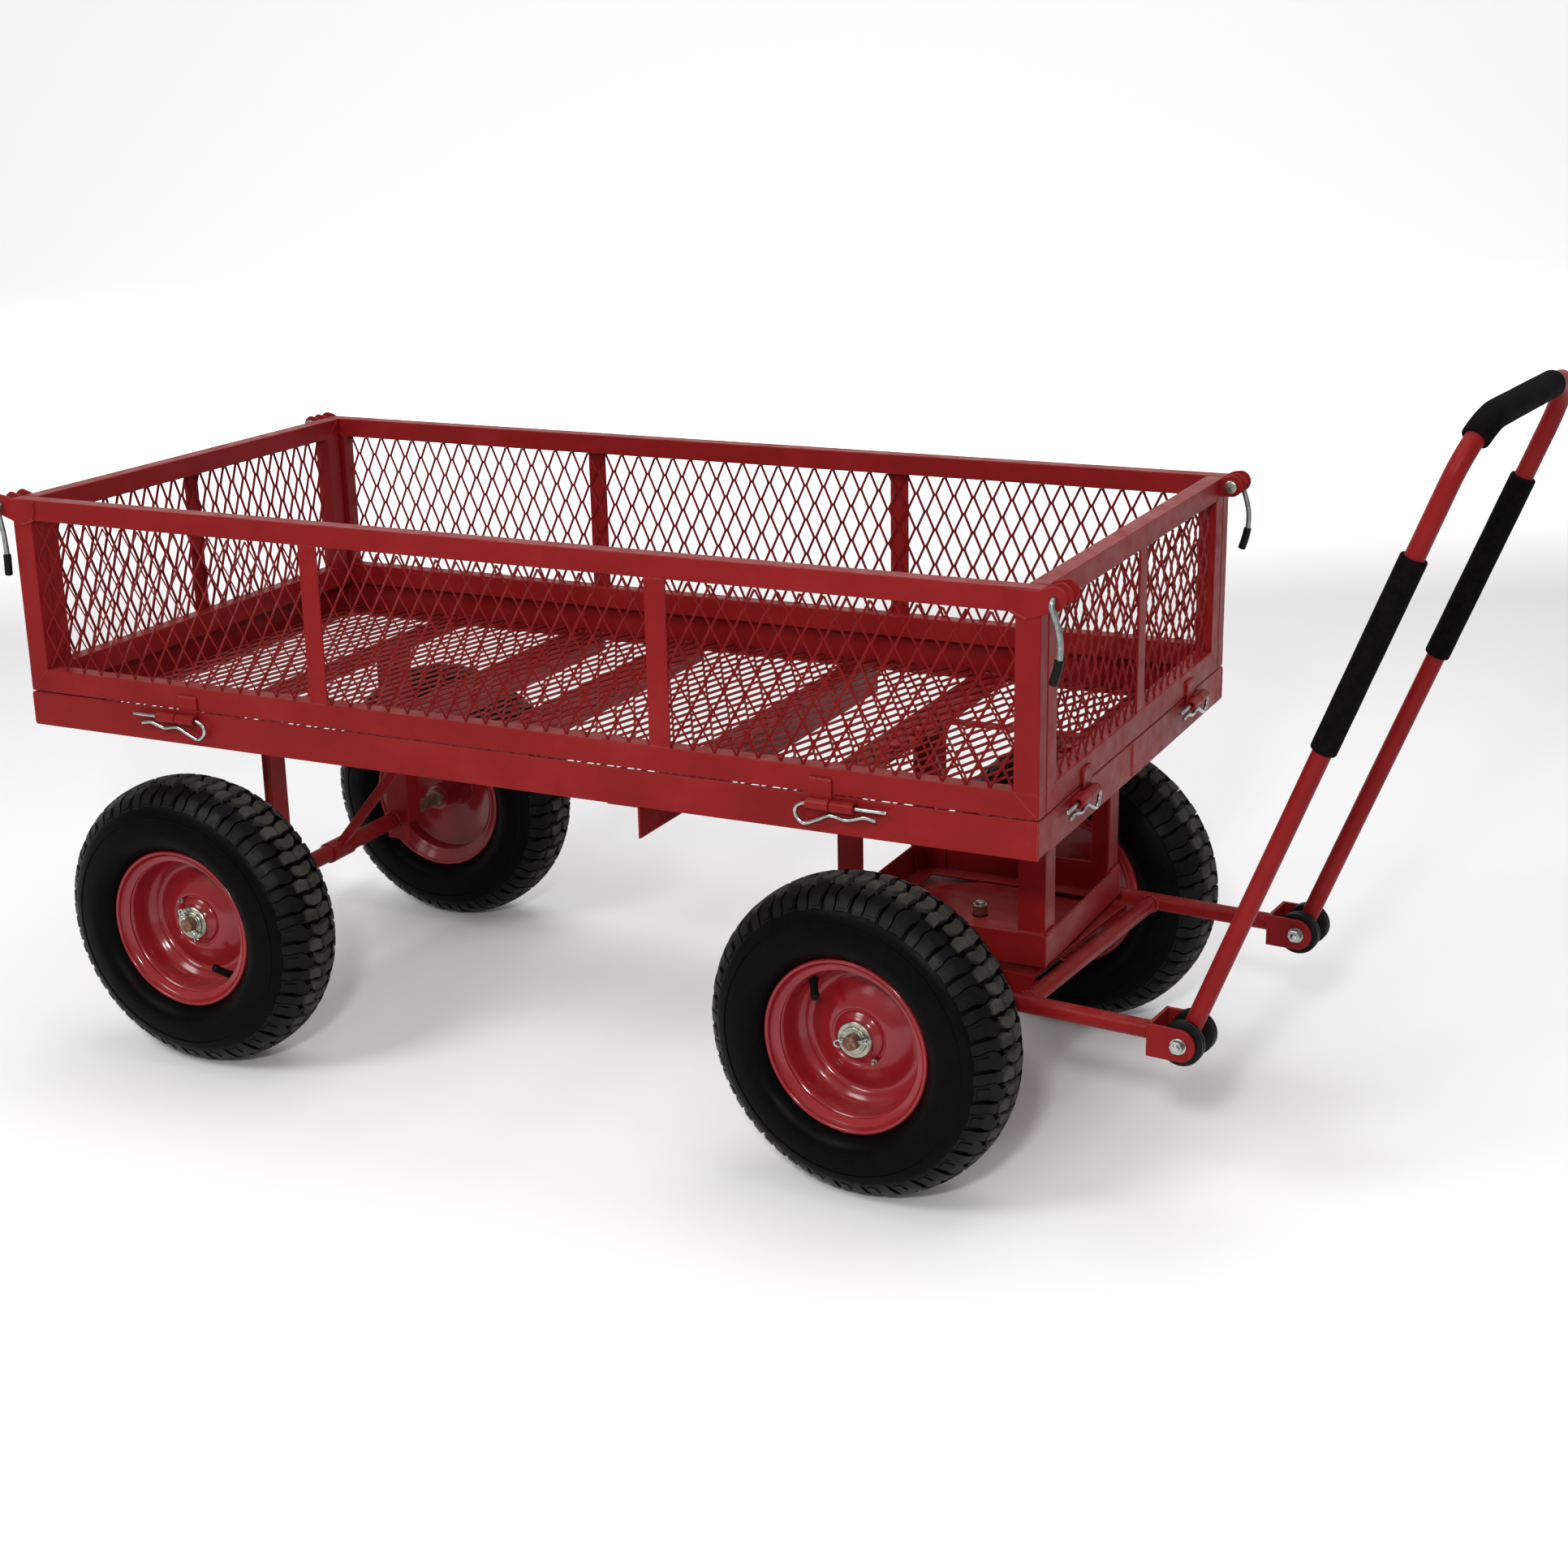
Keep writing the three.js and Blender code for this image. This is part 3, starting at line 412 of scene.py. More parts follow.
def weld_ring(centre, across, ring_radius, radius):
    """Twelve beads round a joint, in the plane of Z and the level direction across."""
    def point(turn):
        away = math.cos(turn) * Vector(across) + math.sin(turn) * Vector((0, 0, 1))
        return Vector(centre) + ring_radius * away

    turns = [math.radians(30 * k) for k in range(13)]
    return [weld(point(a), point(b), radius) for a, b in zip(turns, turns[1:])]


# ---- Pieces --------------------------------------------------------------------------------
def piece(name, shape, body, material, replaces=(), place=Matrix.Identity(4), crease=40, bevel=0.0):
    """A new object that rides on a body and stands for the CAD nodes it replaces."""
    corners, faces = shape
    mesh = bpy.data.meshes.new(name)
    mesh.from_pydata([Vector(c) * MM for c in corners], [], faces)
    mesh.materials.append(material)
    mesh.shade_smooth()
    mesh.set_sharp_from_angle(angle=math.radians(crease))
    item = bpy.data.objects.new(name, mesh)
    bpy.context.scene.collection.objects.link(item)
    item.matrix_world = place
    if bevel:
        soften = item.modifiers.new("edges", "BEVEL")
        soften.width, soften.segments, soften.limit_method = bevel * MM, 2, "ANGLE"
        soften.angle_limit = math.radians(crease + 5)
        soften.use_clamp_overlap = False
        item.modifiers.new("flat", "WEIGHTED_NORMAL").keep_sharp = True
    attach(item, body)
    if replaces:
        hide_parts(*replaces)
    return item


# ---- Expanded metal --------------------------------------------------------------------------
DIAMOND = (24.4, 43.3)  # short way, long way
STRAND = (3.1, 1.5)  # width, thickness
MESH_RISE = 1.9  # from a CAD sheet's outer face to the middle of the expanded metal
BOND = 2.0  # length along which two strands are joined


def expanded_metal(width, length, tilt):
    """A sheet in X and Z, centred, with its diamonds long in Z and its strands tilted about Z."""
    tilt = math.radians(tilt)
    count = round(width / (DIAMOND[0] / 2))
    pitch = width / count
    halves = round(length / (DIAMOND[1] / 2))
    half = length / halves
    across = Vector((math.cos(tilt), math.sin(tilt), 0)) * STRAND[0] / 2
    through = Vector((-math.sin(tilt), math.cos(tilt), 0)) * STRAND[1] / 2
    ribbons = []
    for j in range(count):
        middle = Vector(((j + 0.5) * pitch - width / 2, 0, -length / 2))
        rings = []
        for k in range(halves + 1):
            side = 1 if (j + k) % 2 else -1
            bonded = middle + Vector((side * pitch / 2, 0, 0)) - side * across
            for z in (k * half - BOND / 2, k * half + BOND / 2):
                at = bonded + Vector((0, 0, min(max(z, 0), length)))
                if not rings or (at - rings[-1][0] - across - through).length > 0.01:
                    rings.append([at - across - through, at + across - through,
                                  at + across + through, at - across + through])
        ribbons.append(rings_joined(rings))
    return combined(ribbons)


def middle_and_size(node):
    low, high = (np.array(corner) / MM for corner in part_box(node))
    return (low + high) / 2, high - low


def add_expanded_metal():
    for turns, (side, tilt) in enumerate(zip(SIDE_NAMES, (-38, 38, 38, -38))):
        node = f"{side}_panel_mesh"
        middle, size = middle_and_size(node)
        width, thick = (size[1], size[0]) if turns % 2 else (size[0], size[1])
        place = (Matrix.Translation(Vector(middle)) @ Matrix.Rotation(turns * math.pi / 2, 4, "Z")
                 @ Matrix.Translation((0, MESH_RISE - thick / 2, 0)))
        sheet = moved(expanded_metal(width, size[2], tilt), place)
        name, body = f"{side}_panel_expanded_metal", f"{side}_panel"
        piece(name, sheet, body, MESH_RED, [node], crease=30)
    middle, size = middle_and_size("deck_floor_mesh")
    raised = Vector(middle) + Vector((0, 0, MESH_RISE - size[2] / 2))
    floor = moved(expanded_metal(size[0], size[1], 38), Matrix.Translation(raised) @ FLAT)
    piece("deck_floor_expanded_metal", floor, "deck", MESH_RED, ["deck_floor_mesh"], crease=30)


# ---- Wheels ----------------------------------------------------------------------------------
TYRE_RADIUS = 170.5
TYRE_HALF = 56.0
TYRE_LOW = 102.0  # radius at which the two sides are widest
TYRE_SQUARENESS = 2.45  # exponent of the section's outline, 2 being round
PITCHES = 30
TREAD_PHASE = 7  # degrees
TREAD_DEPTH = 6.0
GROOVE_END, GROOVE_RUN = 57.0, 27.0  # s at which the grooves end, and the length over which they fade
LINE_S = 68.0  # s of the fine moulded line on each side


class TyreWall:
    """The tyre's outer wall by distance s from the tread's middle, outboard being positive."""

    def __init__(self):
        turns = np.linspace(0.05, math.pi - 0.05, 1201)
        power = 2 / TYRE_SQUARENESS
        y = np.sign(np.cos(turns)) * TYRE_HALF * np.abs(np.cos(turns)) ** power
        r = TYRE_LOW + (TYRE_RADIUS - TYRE_LOW) * np.sin(turns) ** power
        s = np.concatenate([[0], np.cumsum(np.hypot(np.diff(y), np.diff(r)))])
        s = s[600] - s
        order = np.argsort(s)
        self.s, self.r, self.y = s[order], r[order], y[order]
        dr, dy = np.gradient(self.r, self.s), np.gradient(self.y, self.s)
        self.nr, self.ny = dy, -dr

    def at(self, s, depth):
        r, y, nr, ny = (np.interp(s, self.s, v) for v in (self.r, self.y, self.nr, self.ny))
        return r - depth * nr, y - depth * ny


WALL = TyreWall()


def groove(s):
    """How deep the bottom of the tread lies under the tyre's outline."""
    return TREAD_DEPTH * min(1, max(0, (GROOVE_END - abs(s)) / GROOVE_RUN))


def carcass():
    """The tyre under its tread blocks, with a fine moulded line on each side."""
    outer = [WALL.at(s, groove(s)) for s in np.linspace(88, -88, 67)]
    side = [(109, 55.2), (104, 52.6), (99.5, 48.2), (96.6, 43.2), (94.8, 39.8), (91, 38.2), (82, 34)]
    section = list(reversed(side)) + outer + [(r, -y) for r, y in side]
    lines = []
    for sign in (1, -1):
        r, y = WALL.at(sign * LINE_S, 0)
        lines.append(lathe(arc(r, y + 0.2 * sign, 0.8, 0, 315, 7), 120))
    return combined([lathe(section, 120), *lines])


# Tread blocks: rows of (s, left, right, depth), left and right being degrees within a pitch and depth
# how far the block's top lies under the tyre's outline. The three middle blocks fit between each other.
MIDDLE_BLOCK = [(13.4, -0.7, 0.5, 0), (12, -1.9, 1.2, 0), (10.5, -1.8, 1.8, 0), (5, -1.3, 2.9, 0),
                (0, -0.8, 2.9, 0),
                (-5, -1.3, 2.9, 0), (-10.5, -1.8, 1.8, 0), (-12, -1.9, 1.2, 0), (-13.4, -0.7, 0.5, 0)]
SIDE_BLOCK = [(20.4, 4.0, 8.1, 0), (12.3, 3.5, 8.0, 0), (3.6, 4.7, 8.6, 0)]
PLAIN_LUG = [(55, 4.0, 7.6, 0.3), (47, 3.5, 7.9, 0), (40, 3.5, 7.2, 0), (34, 3.8, 7.2, 0),
             (29, 3.6, 7.9, 0.2), (24, 4.0, 8.0, 0.6)]
STEPPED_LUG = [(56, -3.4, 1.9, 0.4), (47, -3.6, 2.0, 0.9), (37, -4.3, 1.9, 1.1), (33, -4.2, 2.5, 1.1),
               (27.5, -3.3, 3.0, 0.9), (22.8, -1.2, 2.4, 0.1), (18.2, -2.1, 1.4, 0)]
PAD = [(50.5, -2.3, 1.2, 0), (44, -2.4, 1.4, 0), (37.6, -2.4, 1.4, 0)]


def tread_block(rows, at, mirrored, draft):
    """One block at an angle about the axle, wider at its foot than at its top."""
    if mirrored:
        rows = [(-s, left, right, depth) for s, left, right, depth in reversed(rows)]
    rings = []
    for i, (s, left, right, depth) in enumerate(rows):
        spread = 0.8 if i == 0 else -0.8 if i == len(rows) - 1 else 0
        foot, top = WALL.at(s + spread, groove(s) + 1), WALL.at(s, depth)
        corners = ((left - draft, foot), (left, top), (right, top), (right + draft, foot))
        turns = [(math.radians(at + turn), r, y) for turn, (r, y) in corners]
        rings.append([Vector((r * math.cos(a), y, r * math.sin(a))) for a, r, y in turns])
    return rings_joined(rings)


def tread(middle):
    """The three middle rows of blocks, or the lugs that run from them down the tyre's sides."""
    mirrored_blocks, draft = ((SIDE_BLOCK,), 0.2) if middle else ((PLAIN_LUG, STEPPED_LUG, PAD), 0.12)
    blocks = []
    for k in range(PITCHES):
        at = TREAD_PHASE + 360 * k / PITCHES
        if middle:
            blocks.append(tread_block(MIDDLE_BLOCK, at, False, draft))
        for mirrored in (False, True):
            blocks += [tread_block(rows, at, mirrored, draft) for rows in mirrored_blocks]
    return combined(blocks)


def rim():
    """The dished steel rim with rolled lips, a drop centre, a domed disc and the hub's tube."""
    lip = arc(91.6, 40.2, 2.4, -40, 190, 8)
    inboard = [(8.4, -40), (16, -40), (16, 1), (24, 8), (40, 0), (58, -8), (66, -9), (74.5, -14),
               (75.2, -31)]
    drop_centre = [(79.5, -34), (79.8, 34)]
    wall = [(86.5, 36.6), (83.5, 33.6), (79.4, 31.6), (77.3, 28.8), (76.6, 15), (75.2, 8.5), (71.8, 4.6)]
    disc = [(68.6, 2.6), (67.2, 0.2), (65.4, -2.6), (62.4, -3.6), (59.2, -2.9), (55, -0.4), (47, 4.6)]
    hub = [(39.5, 8.8), (33.4, 11.2), (31.4, 11.4), (30.2, 10.2), (28.8, 10.2), (27.8, 11.8), (26, 13.4),
           (22.5, 15.2), (20.2, 17), (18.6, 19.2), (17.6, 20.4), (15.2, 20.6), (14.6, 19.6), (8.4, 19.6)]
    far_lip = [(r, -y) for r, y in reversed(lip)]
    return lathe([*inboard, *far_lip, *drop_centre, *lip, *wall, *disc, *hub], 128)


def valve():
    """A short ribbed rubber stem with its cap, leaning in from the rim's wall."""
    root, tip = Vector((74.5, 12, 0)), Vector((57, 29.5, 0))
    stem = [(0, 5.4), (0.1, 4.9), (0.2, 4.3), (0.7, 4.1), (0.71, 4.6), (0.97, 4.6), (1, 3.8)]
    path, radii = [], []
    for (t0, r0), (t1, r1) in zip(stem, stem[1:]):
        for k in range(4):
            path.append(root.lerp(tip, t0 + (t1 - t0) * k / 4))
            radii.append(r0 + (r1 - r0) * k / 4)
    return sweep([*path, tip], [*radii, 3.8], 16)


def bearing():
    """Bearing face and the washer over it."""
    return combined([ring(15.0, 8.4, 17, 21.15, soft=0.3), ring(19.6, 14.4, 18, 21.2, soft=1.0)])


def washer():
    return combined([ring(14.5, 8.35, 21.3, 23.4), ring(11.6, 8.35, 23.4, 24.1, soft=0.3)])


def grease_fitting():
    return combined([bar((28, 12, 0), (29.2, 17, 0), 3.1, 6), bar((29.2, 17, 0), (30.2, 21, 0), 1.8, 16)])


def cotter():
    """A split pin: round eye, two legs through the axle, their ends bent apart."""
    y = 27.5
    turns = [math.radians(degrees) for degrees in range(-60, 241, 20)]
    eye = [(3.4 * math.cos(a), y, 15.5 + 4.6 * math.sin(a)) for a in turns]
    legs = []
    for sign in (1, -1):
        leg = [(sign * 0.9, y, 10), (sign * 0.9, y, 0), (sign * 0.9, y, -12), (sign * 3, y + 0.4, -21)]
        legs.append(sweep(smooth_path(leg, 5), 1.15, 10, soft=0.4))
    return combined([sweep(smooth_path([(0.9, y, 10), *eye, (-0.9, y, 10)], 3), 1.15, 10), *legs])


WHEELS = {
    # wheel: (body its axle is on, turn of its valve, split pin and grease fitting about the axle in radians)
    "front_right": ("steering", -0.8, 1.83, 2.356),
    "front_left": ("steering", 1.1, 0.6, -2.2),
    "rear_right": ("deck", 2.187, 0.55, -0.96),
    "rear_left": ("deck", 2.4, 1.2, 0.3),
}


HALF_TRACK = 263.0  # from the wagon's middle to a wheel's


def turned(shape, turn):
    """The shape turned about its Y axis."""
    return moved(shape, Matrix.Rotation(turn, 4, "Y"))


def add_wheels():
    shapes = {"carcass": carcass(), "tread": tread(True), "shoulders": tread(False), "rim": rim()}
    for name, (axle_body, valve_turn, cotter_turn, fitting_turn) in WHEELS.items():
        spin = joints[f"{name}_wheel_spin"]
        outboard = Vector(spin["axis"]) * (1 if "left" in name else -1)
        up = Vector((0, 0, 1))
        along = outboard.cross(up)
        place = Matrix.Translation(spin["pos_m"]) @ Matrix((along, outboard, up)).transposed().to_4x4()
        wheel = f"{name}_wheel"
        stem, nipple = turned(valve(), valve_turn), turned(grease_fitting(), fitting_turn)
        pin = turned(cotter(), cotter_turn)
        for part, shape, slot, material, replaced, crease in (
            ("tyre_carcass", shapes["carcass"], "tyre", TYRE, "tyre", 35),
            ("tyre_tread", shapes["tread"], "tyre", TREAD, None, 30),
            ("tyre_shoulders", shapes["shoulders"], "tyre", LIT_SHOULDER_RUBBER, None, 30),
            ("rim_enamelled", shapes["rim"], "rim_paint", RIM_RED, "rim", 50),
            ("valve", stem, "rubber", RUBBER, "valve_stem", 40),
            ("hub_bearing", bearing(), "zinc", ZINC, None, 40),
            ("grease_fitting", nipple, "zinc", ZINC, None, 40),
        ):
            nodes = [f"{name}_{replaced}"] if replaced else ()
            piece(f"{name}_{part}", shape, wheel, material, nodes, place, crease)
        piece(f"{name}_washer", washer(), axle_body, ZINC, [f"{name}_axle_washer"], place)
        piece(f"{name}_split_pin", pin, axle_body, WIRE, [f"{name}_cotter_pin"], place)


def add_axles():
    for end, body in (("rear", "deck"), ("front", "steering")):
        node = f"{end}_axle"
        spin = joints[f"{end}_right_wheel_spin"]
        axis, centre = Vector(spin["axis"]), Vector(spin["pos_m"]) / MM
        middle = centre + axis * HALF_TRACK
        collars = [bar(middle + axis * s * 213, middle + axis * s * 222.5, 12.5, 32, 1) for s in (1, -1)]
        rod = bar(middle - axis * 295, middle + axis * 295, 7.9, 32, 1)
        piece(f"{node}_rod", combined([rod, *collars]), body, RUST, [node], crease=50)


# ---- Steering, drawbar and handle ----------------------------------------------------------------
fold = joints["handle_fold"]
kingpin = Vector(joints["steering_turn"]["pos_m"])
STEERED = (Matrix.Translation((kingpin.x, kingpin.y, 0))
           @ Matrix.Rotation(-math.atan2(fold["axis"][0], fold["axis"][1]), 4, "Z"))
DRAWBAR_Z = fold["pos_m"][2] / MM
DRAWBAR_HALF = 168.0  # from the middle to each side tube and each leg of the handle
TUBE, TUBE_BORE = 9.5, 7.5  # radii
CLEVIS_X, CLEVIS_BACK, CLEVIS_HALF, CLEVIS_NOSE = 310.5, 277.0, 26.0, 17.0
CHEEK = 4.0  # thickness of a clevis's plates
CROSS_X = 134.0
AT_PIVOTS = STEERED @ Matrix.Translation(Vector((CLEVIS_X, 0, DRAWBAR_Z)) * MM)


def clevis(y):
    """A folded bracket: a back plate and two cheeks with round noses."""
    low, high = DRAWBAR_Z - CLEVIS_NOSE, DRAWBAR_Z + CLEVIS_NOSE
    y0, y1 = y - CLEVIS_HALF, y + CLEVIS_HALF
    nose = arc(CLEVIS_X, DRAWBAR_Z, CLEVIS_NOSE, -90, 90, 20)
    cheek = [(CLEVIS_BACK, low), *nose, (CLEVIS_BACK, high)]
    back = block((CLEVIS_BACK, y0 + 1, low), (CLEVIS_BACK + CHEEK, y1 - 1, high))
    return [plate(cheek, y0, y0 + CHEEK), plate(cheek, y1 - CHEEK, y1), back]


def add_drawbar():
    z = DRAWBAR_Z
    tubes, plates, beads = [], [], []
    for s in SIDES[::-1]:
        y = s * DRAWBAR_HALF
        tubes.append(sweep([(-24, y, z), (130, y, z), (CLEVIS_BACK, y, z)], TUBE, 32, bore=TUBE_BORE))
        plates += clevis(y)
        plates.append(plate([(-14, 156), (14, 156), (20, z - 6), (-20, z - 6)], y - 3, y + 3))
        plates.append(box(CROSS_X - 34, CROSS_X, s * 117.7, s * 112.7, z - 10, z + 3))
        beads += weld_ring((CLEVIS_BACK - 1, y, z), (0, 1, 0), 10.5, 1.7)
        beads += weld_ring((CROSS_X, y - s * 9.8, z), (1, 0, 0), 10, 1.6)
    tubes.append(bar((CROSS_X, -DRAWBAR_HALF, z), (CROSS_X, DRAWBAR_HALF, z), TUBE - 0.4, 32))
    piece("drawbar_tubes", combined(tubes), "steering", RED, ["drawbar_frame"], STEERED)
    piece("drawbar_brackets", combined(plates), "steering", RED, (), STEERED, bevel=0.8)
    piece("drawbar_welds", combined(beads), "steering", WELD_RED, (), STEERED)


def add_pivots():
    """Bolts, their washers and nuts, and the rubber friction discs on each side of the handle's ends."""
    bolt = combined([bar((0, -35, 0), (0, 34, 0), 3.9), hexagon(13, -32.6, -27.4),
                     ring(8.6, 5, -27.4, -26.2), ring(8.6, 5, 26.2, 27.4), hexagon(13, 27.4, 32.6)])
    y0, y1 = 10.1, 21.7
    flange = [(5.3, y0), (20.5, y0), (22.4, y0 + 0.8), (23, y0 + 2.2), (23, y0 + 4.6), (21.4, y0 + 5.6)]
    disc = lathe([*flange, (21.4, y0 + 6.4), (23, y0 + 7.4), (23, y1 - 1.6), (22, y1 - 0.3), (5.3, y1)], 64)
    for side, s in (("right", -1), ("left", 1)):
        at = Matrix.Translation((0, s * DRAWBAR_HALF, 0))
        plated = moved(bolt, at if s < 0 else at @ HALF_TURN)
        node = f"{side}_pivot_bolt"
        piece(node + "_plated", plated, "steering", WIRE, [node], AT_PIVOTS)
        for where, hand in (("outer", s), ("inner", -s)):
            name = f"{side}_{where}_friction_disc"
            shape = moved(disc, at if hand > 0 else at @ HALF_TURN)
            piece(name + "_rubber", shape, "handle", RUBBER, [name], AT_PIVOTS, 35)


HANDLE_LENGTH, HANDLE_BEND = 665.0, 60.0
HANDLE_LEAN = math.radians(68.7)
HANDLE = AT_PIVOTS @ Matrix.Rotation(math.pi / 2 - HANDLE_LEAN, 4, "Y")
LEG_FOAM, GRIP_FOAM, FOAM_BORE = 12.9, 13.4, 9.9  # radii


def handle_bend(side, start, steps):
    """Points round one top corner up to the crossbar, from 0 degrees on the leg to 90 on the crossbar."""
    bend = arc(DRAWBAR_HALF - HANDLE_BEND, HANDLE_LENGTH - HANDLE_BEND, HANDLE_BEND, start, 90, steps)
    return [(0, side * y, z) for y, z in bend]


def line(start, end, steps):
    return [Vector(start).lerp(Vector(end), k / steps) for k in range(steps + 1)]


def add_handle():
    right, left = ([(0, s * DRAWBAR_HALF, -11), (0, s * DRAWBAR_HALF, 300), *handle_bend(s, 0, 18)]
                   for s in SIDES)
    tube = sweep([*right, *reversed(left)], TUBE, 32, bore=TUBE_BORE)
    piece("handle_tube_painted", tube, "handle", RED, ["handle_tube"], HANDLE)
    for side, s, low, high in (("right", -1, 333, 535), ("left", 1, 347, 552)):
        y = s * DRAWBAR_HALF
        shape = foam_sleeve(line((0, y, low), (0, y, high), 60), LEG_FOAM)
        sleeve = piece(f"{side}_leg_foam", shape, "handle", FOAM, [f"{side}_leg_sleeve"], HANDLE, 60)
    across = line((0, -(DRAWBAR_HALF - HANDLE_BEND), HANDLE_LENGTH), (0, 80, HANDLE_LENGTH), 44)
    shape = foam_sleeve([*handle_bend(-1, 45, 14), *across[1:]], GRIP_FOAM)
    grip = piece("grip_foam", shape, "handle", FOAM, ["foam_grip"], HANDLE, 60)


def foam_sleeve(path, radius):
    """A foam tube a little uneven along its length, with soft ends."""
    path = [Vector(p) for p in path]
    radii = [radius * (1 + 0.012 * noise.noise(p * 0.03) + 0.008 * noise.noise(p * 0.12)) for p in path]
    return sweep(path, radii, 32, soft=1.6, bore=FOAM_BORE)


# ---- Wire parts ----------------------------------------------------------------------------------
def hinge_clip():
    """A hairpin clip: straight leg along +X through the knuckles, round end, waved leg under it."""
    turn = [(10, 0), (1, -0.4), (-6, -3.6), (-8.6, -9), (-6.4, -15.6), (-1.6, -20), (3.5, -20.8)]
    wave = [(15, -16), (27, -10.4), (36, -10.6), (46, -12.6), (56, -10.2), (66, -7.7), (78, -9.8)]
    path = [(x, 0, z) for x, z in [(89, 0), (45, 0), *turn, *wave]]
    return sweep(smooth_path(path, 5), 2.05, 14, soft=0.7)


def add_clips():
    """Each clip's leg starts beside a knuckle and runs away from its side's middle; one runs towards it."""
    clip = hinge_clip()
    for turns, side in enumerate(SIDE_NAMES):
        hinge, face = (END_HINGE, HALF_LENGTH) if turns % 2 else (LONG_HINGE, HALF_WIDTH)
        place = ON_DECK @ Matrix.Rotation(turns * math.pi / 2, 4, "Z")
        for end, hand in (("a", -1), ("b", 1)):
            node = f"{side}_hinge_clip_{end}"
            inward = node == "front_hinge_clip_b"
            start = hand * (hinge + (KNUCKLE + 3) * (1 if inward else -1))
            local = Matrix.Translation((start, -face - PIVOT_OUT, PIVOT_Z))
            if (hand < 0) != inward:
                local = local @ HALF_TURN
            piece(node + "_wire", moved(clip, local), "deck", WIRE, [node], place)


def latch_leg(y, bulge, drift, *steps):
    """Points down a latch pin's hanging leg; t runs from 0 at its bend to 1 at its tip."""
    return [(bulge * math.sin(math.pi * t) + drift * t, y, -6 - 72.5 * t) for t in steps]


def add_latches():
    """Bent rods whose legs hang beside the long panels, each bowed along X and dipped at its tip."""
    for end, bulge, drift in (("front", 8, 2), ("rear", 3, 5)):
        for side, s in (("right", -1), ("left", 1)):
            pin = Vector(joints[f"{end}_{side}_latch_swing"]["pos_m"]) / MM
            place = Matrix.Translation((pin.x, 0, pin.z))
            y = s * 313
            rod = [(0, s * 284.8, 0), (0, s * 296, 0), (0, s * 307, 0), (0, s * 311.5, -1.5), (0, y, -6),
                   *latch_leg(y, bulge, drift, 0.11, 0.3, 0.47, 0.67, 0.86)]
            tip = latch_leg(y, bulge, drift, 0.66, 0.78, 0.89, 1)
            node, body = f"{end}_{side}_latch_pin", f"{end}_{side}_latch"
            wire = moved(sweep(smooth_path(rod, 5), 3.0, 20, soft=0.8), place)
            dipped = moved(sweep(smooth_path(tip, 5), 4.4, 20, soft=1.4), place)
            piece(node + "_rod", wire, body, DULL, [node])
            piece(node + "_tip", dipped, body, VINYL)


# ---- Painted steelwork -----------------------------------------------------------------------------
# Everything here is laid out from the deck's middle, as in the CAD. Angle iron is two boxes.
ANGLE = 30.0  # width of the rails', posts' and legs' angle iron


def quarter(shape, turns):
    return moved(shape, Matrix.Rotation(turns * math.pi / 2, 4, "Z"))


def knuckle(x0, x1, y, z):
    turn = Matrix.Translation((0, y, z)) @ Matrix.Rotation(-math.pi / 2, 4, "Z")
    return moved(ring(6, 2.9, x0, x1, 32), turn)


def drawn_in(shape, amount):
    """The shape with its corners pulled in, so that faces of overlapping pieces never share a plane."""
    corners, faces = combined([shape])
    middle = sum(corners, Vector()) / len(corners)
    return [c - Vector((math.copysign(amount, v) for v in c - middle)) for c in corners], faces


def steelwork(name, shapes, beads, body, node, place):
    shapes = [drawn_in(shape, 0.08 * (i % 5)) for i, shape in enumerate(shapes)]
    piece(name + "_steel", combined(shapes), body, RED, [node], place, bevel=0.9)
    if beads:
        piece(name + "_welds", combined(beads), body, WELD_RED, (), place)


# Under the floor: (rear edge, front edge, depth of the lip along the front edge)
CROSS_MEMBERS = ((-454, -404, 0), (-257, -187, 14), (-105, -45, 14), (308, 358, 0), (508, 558, 0))


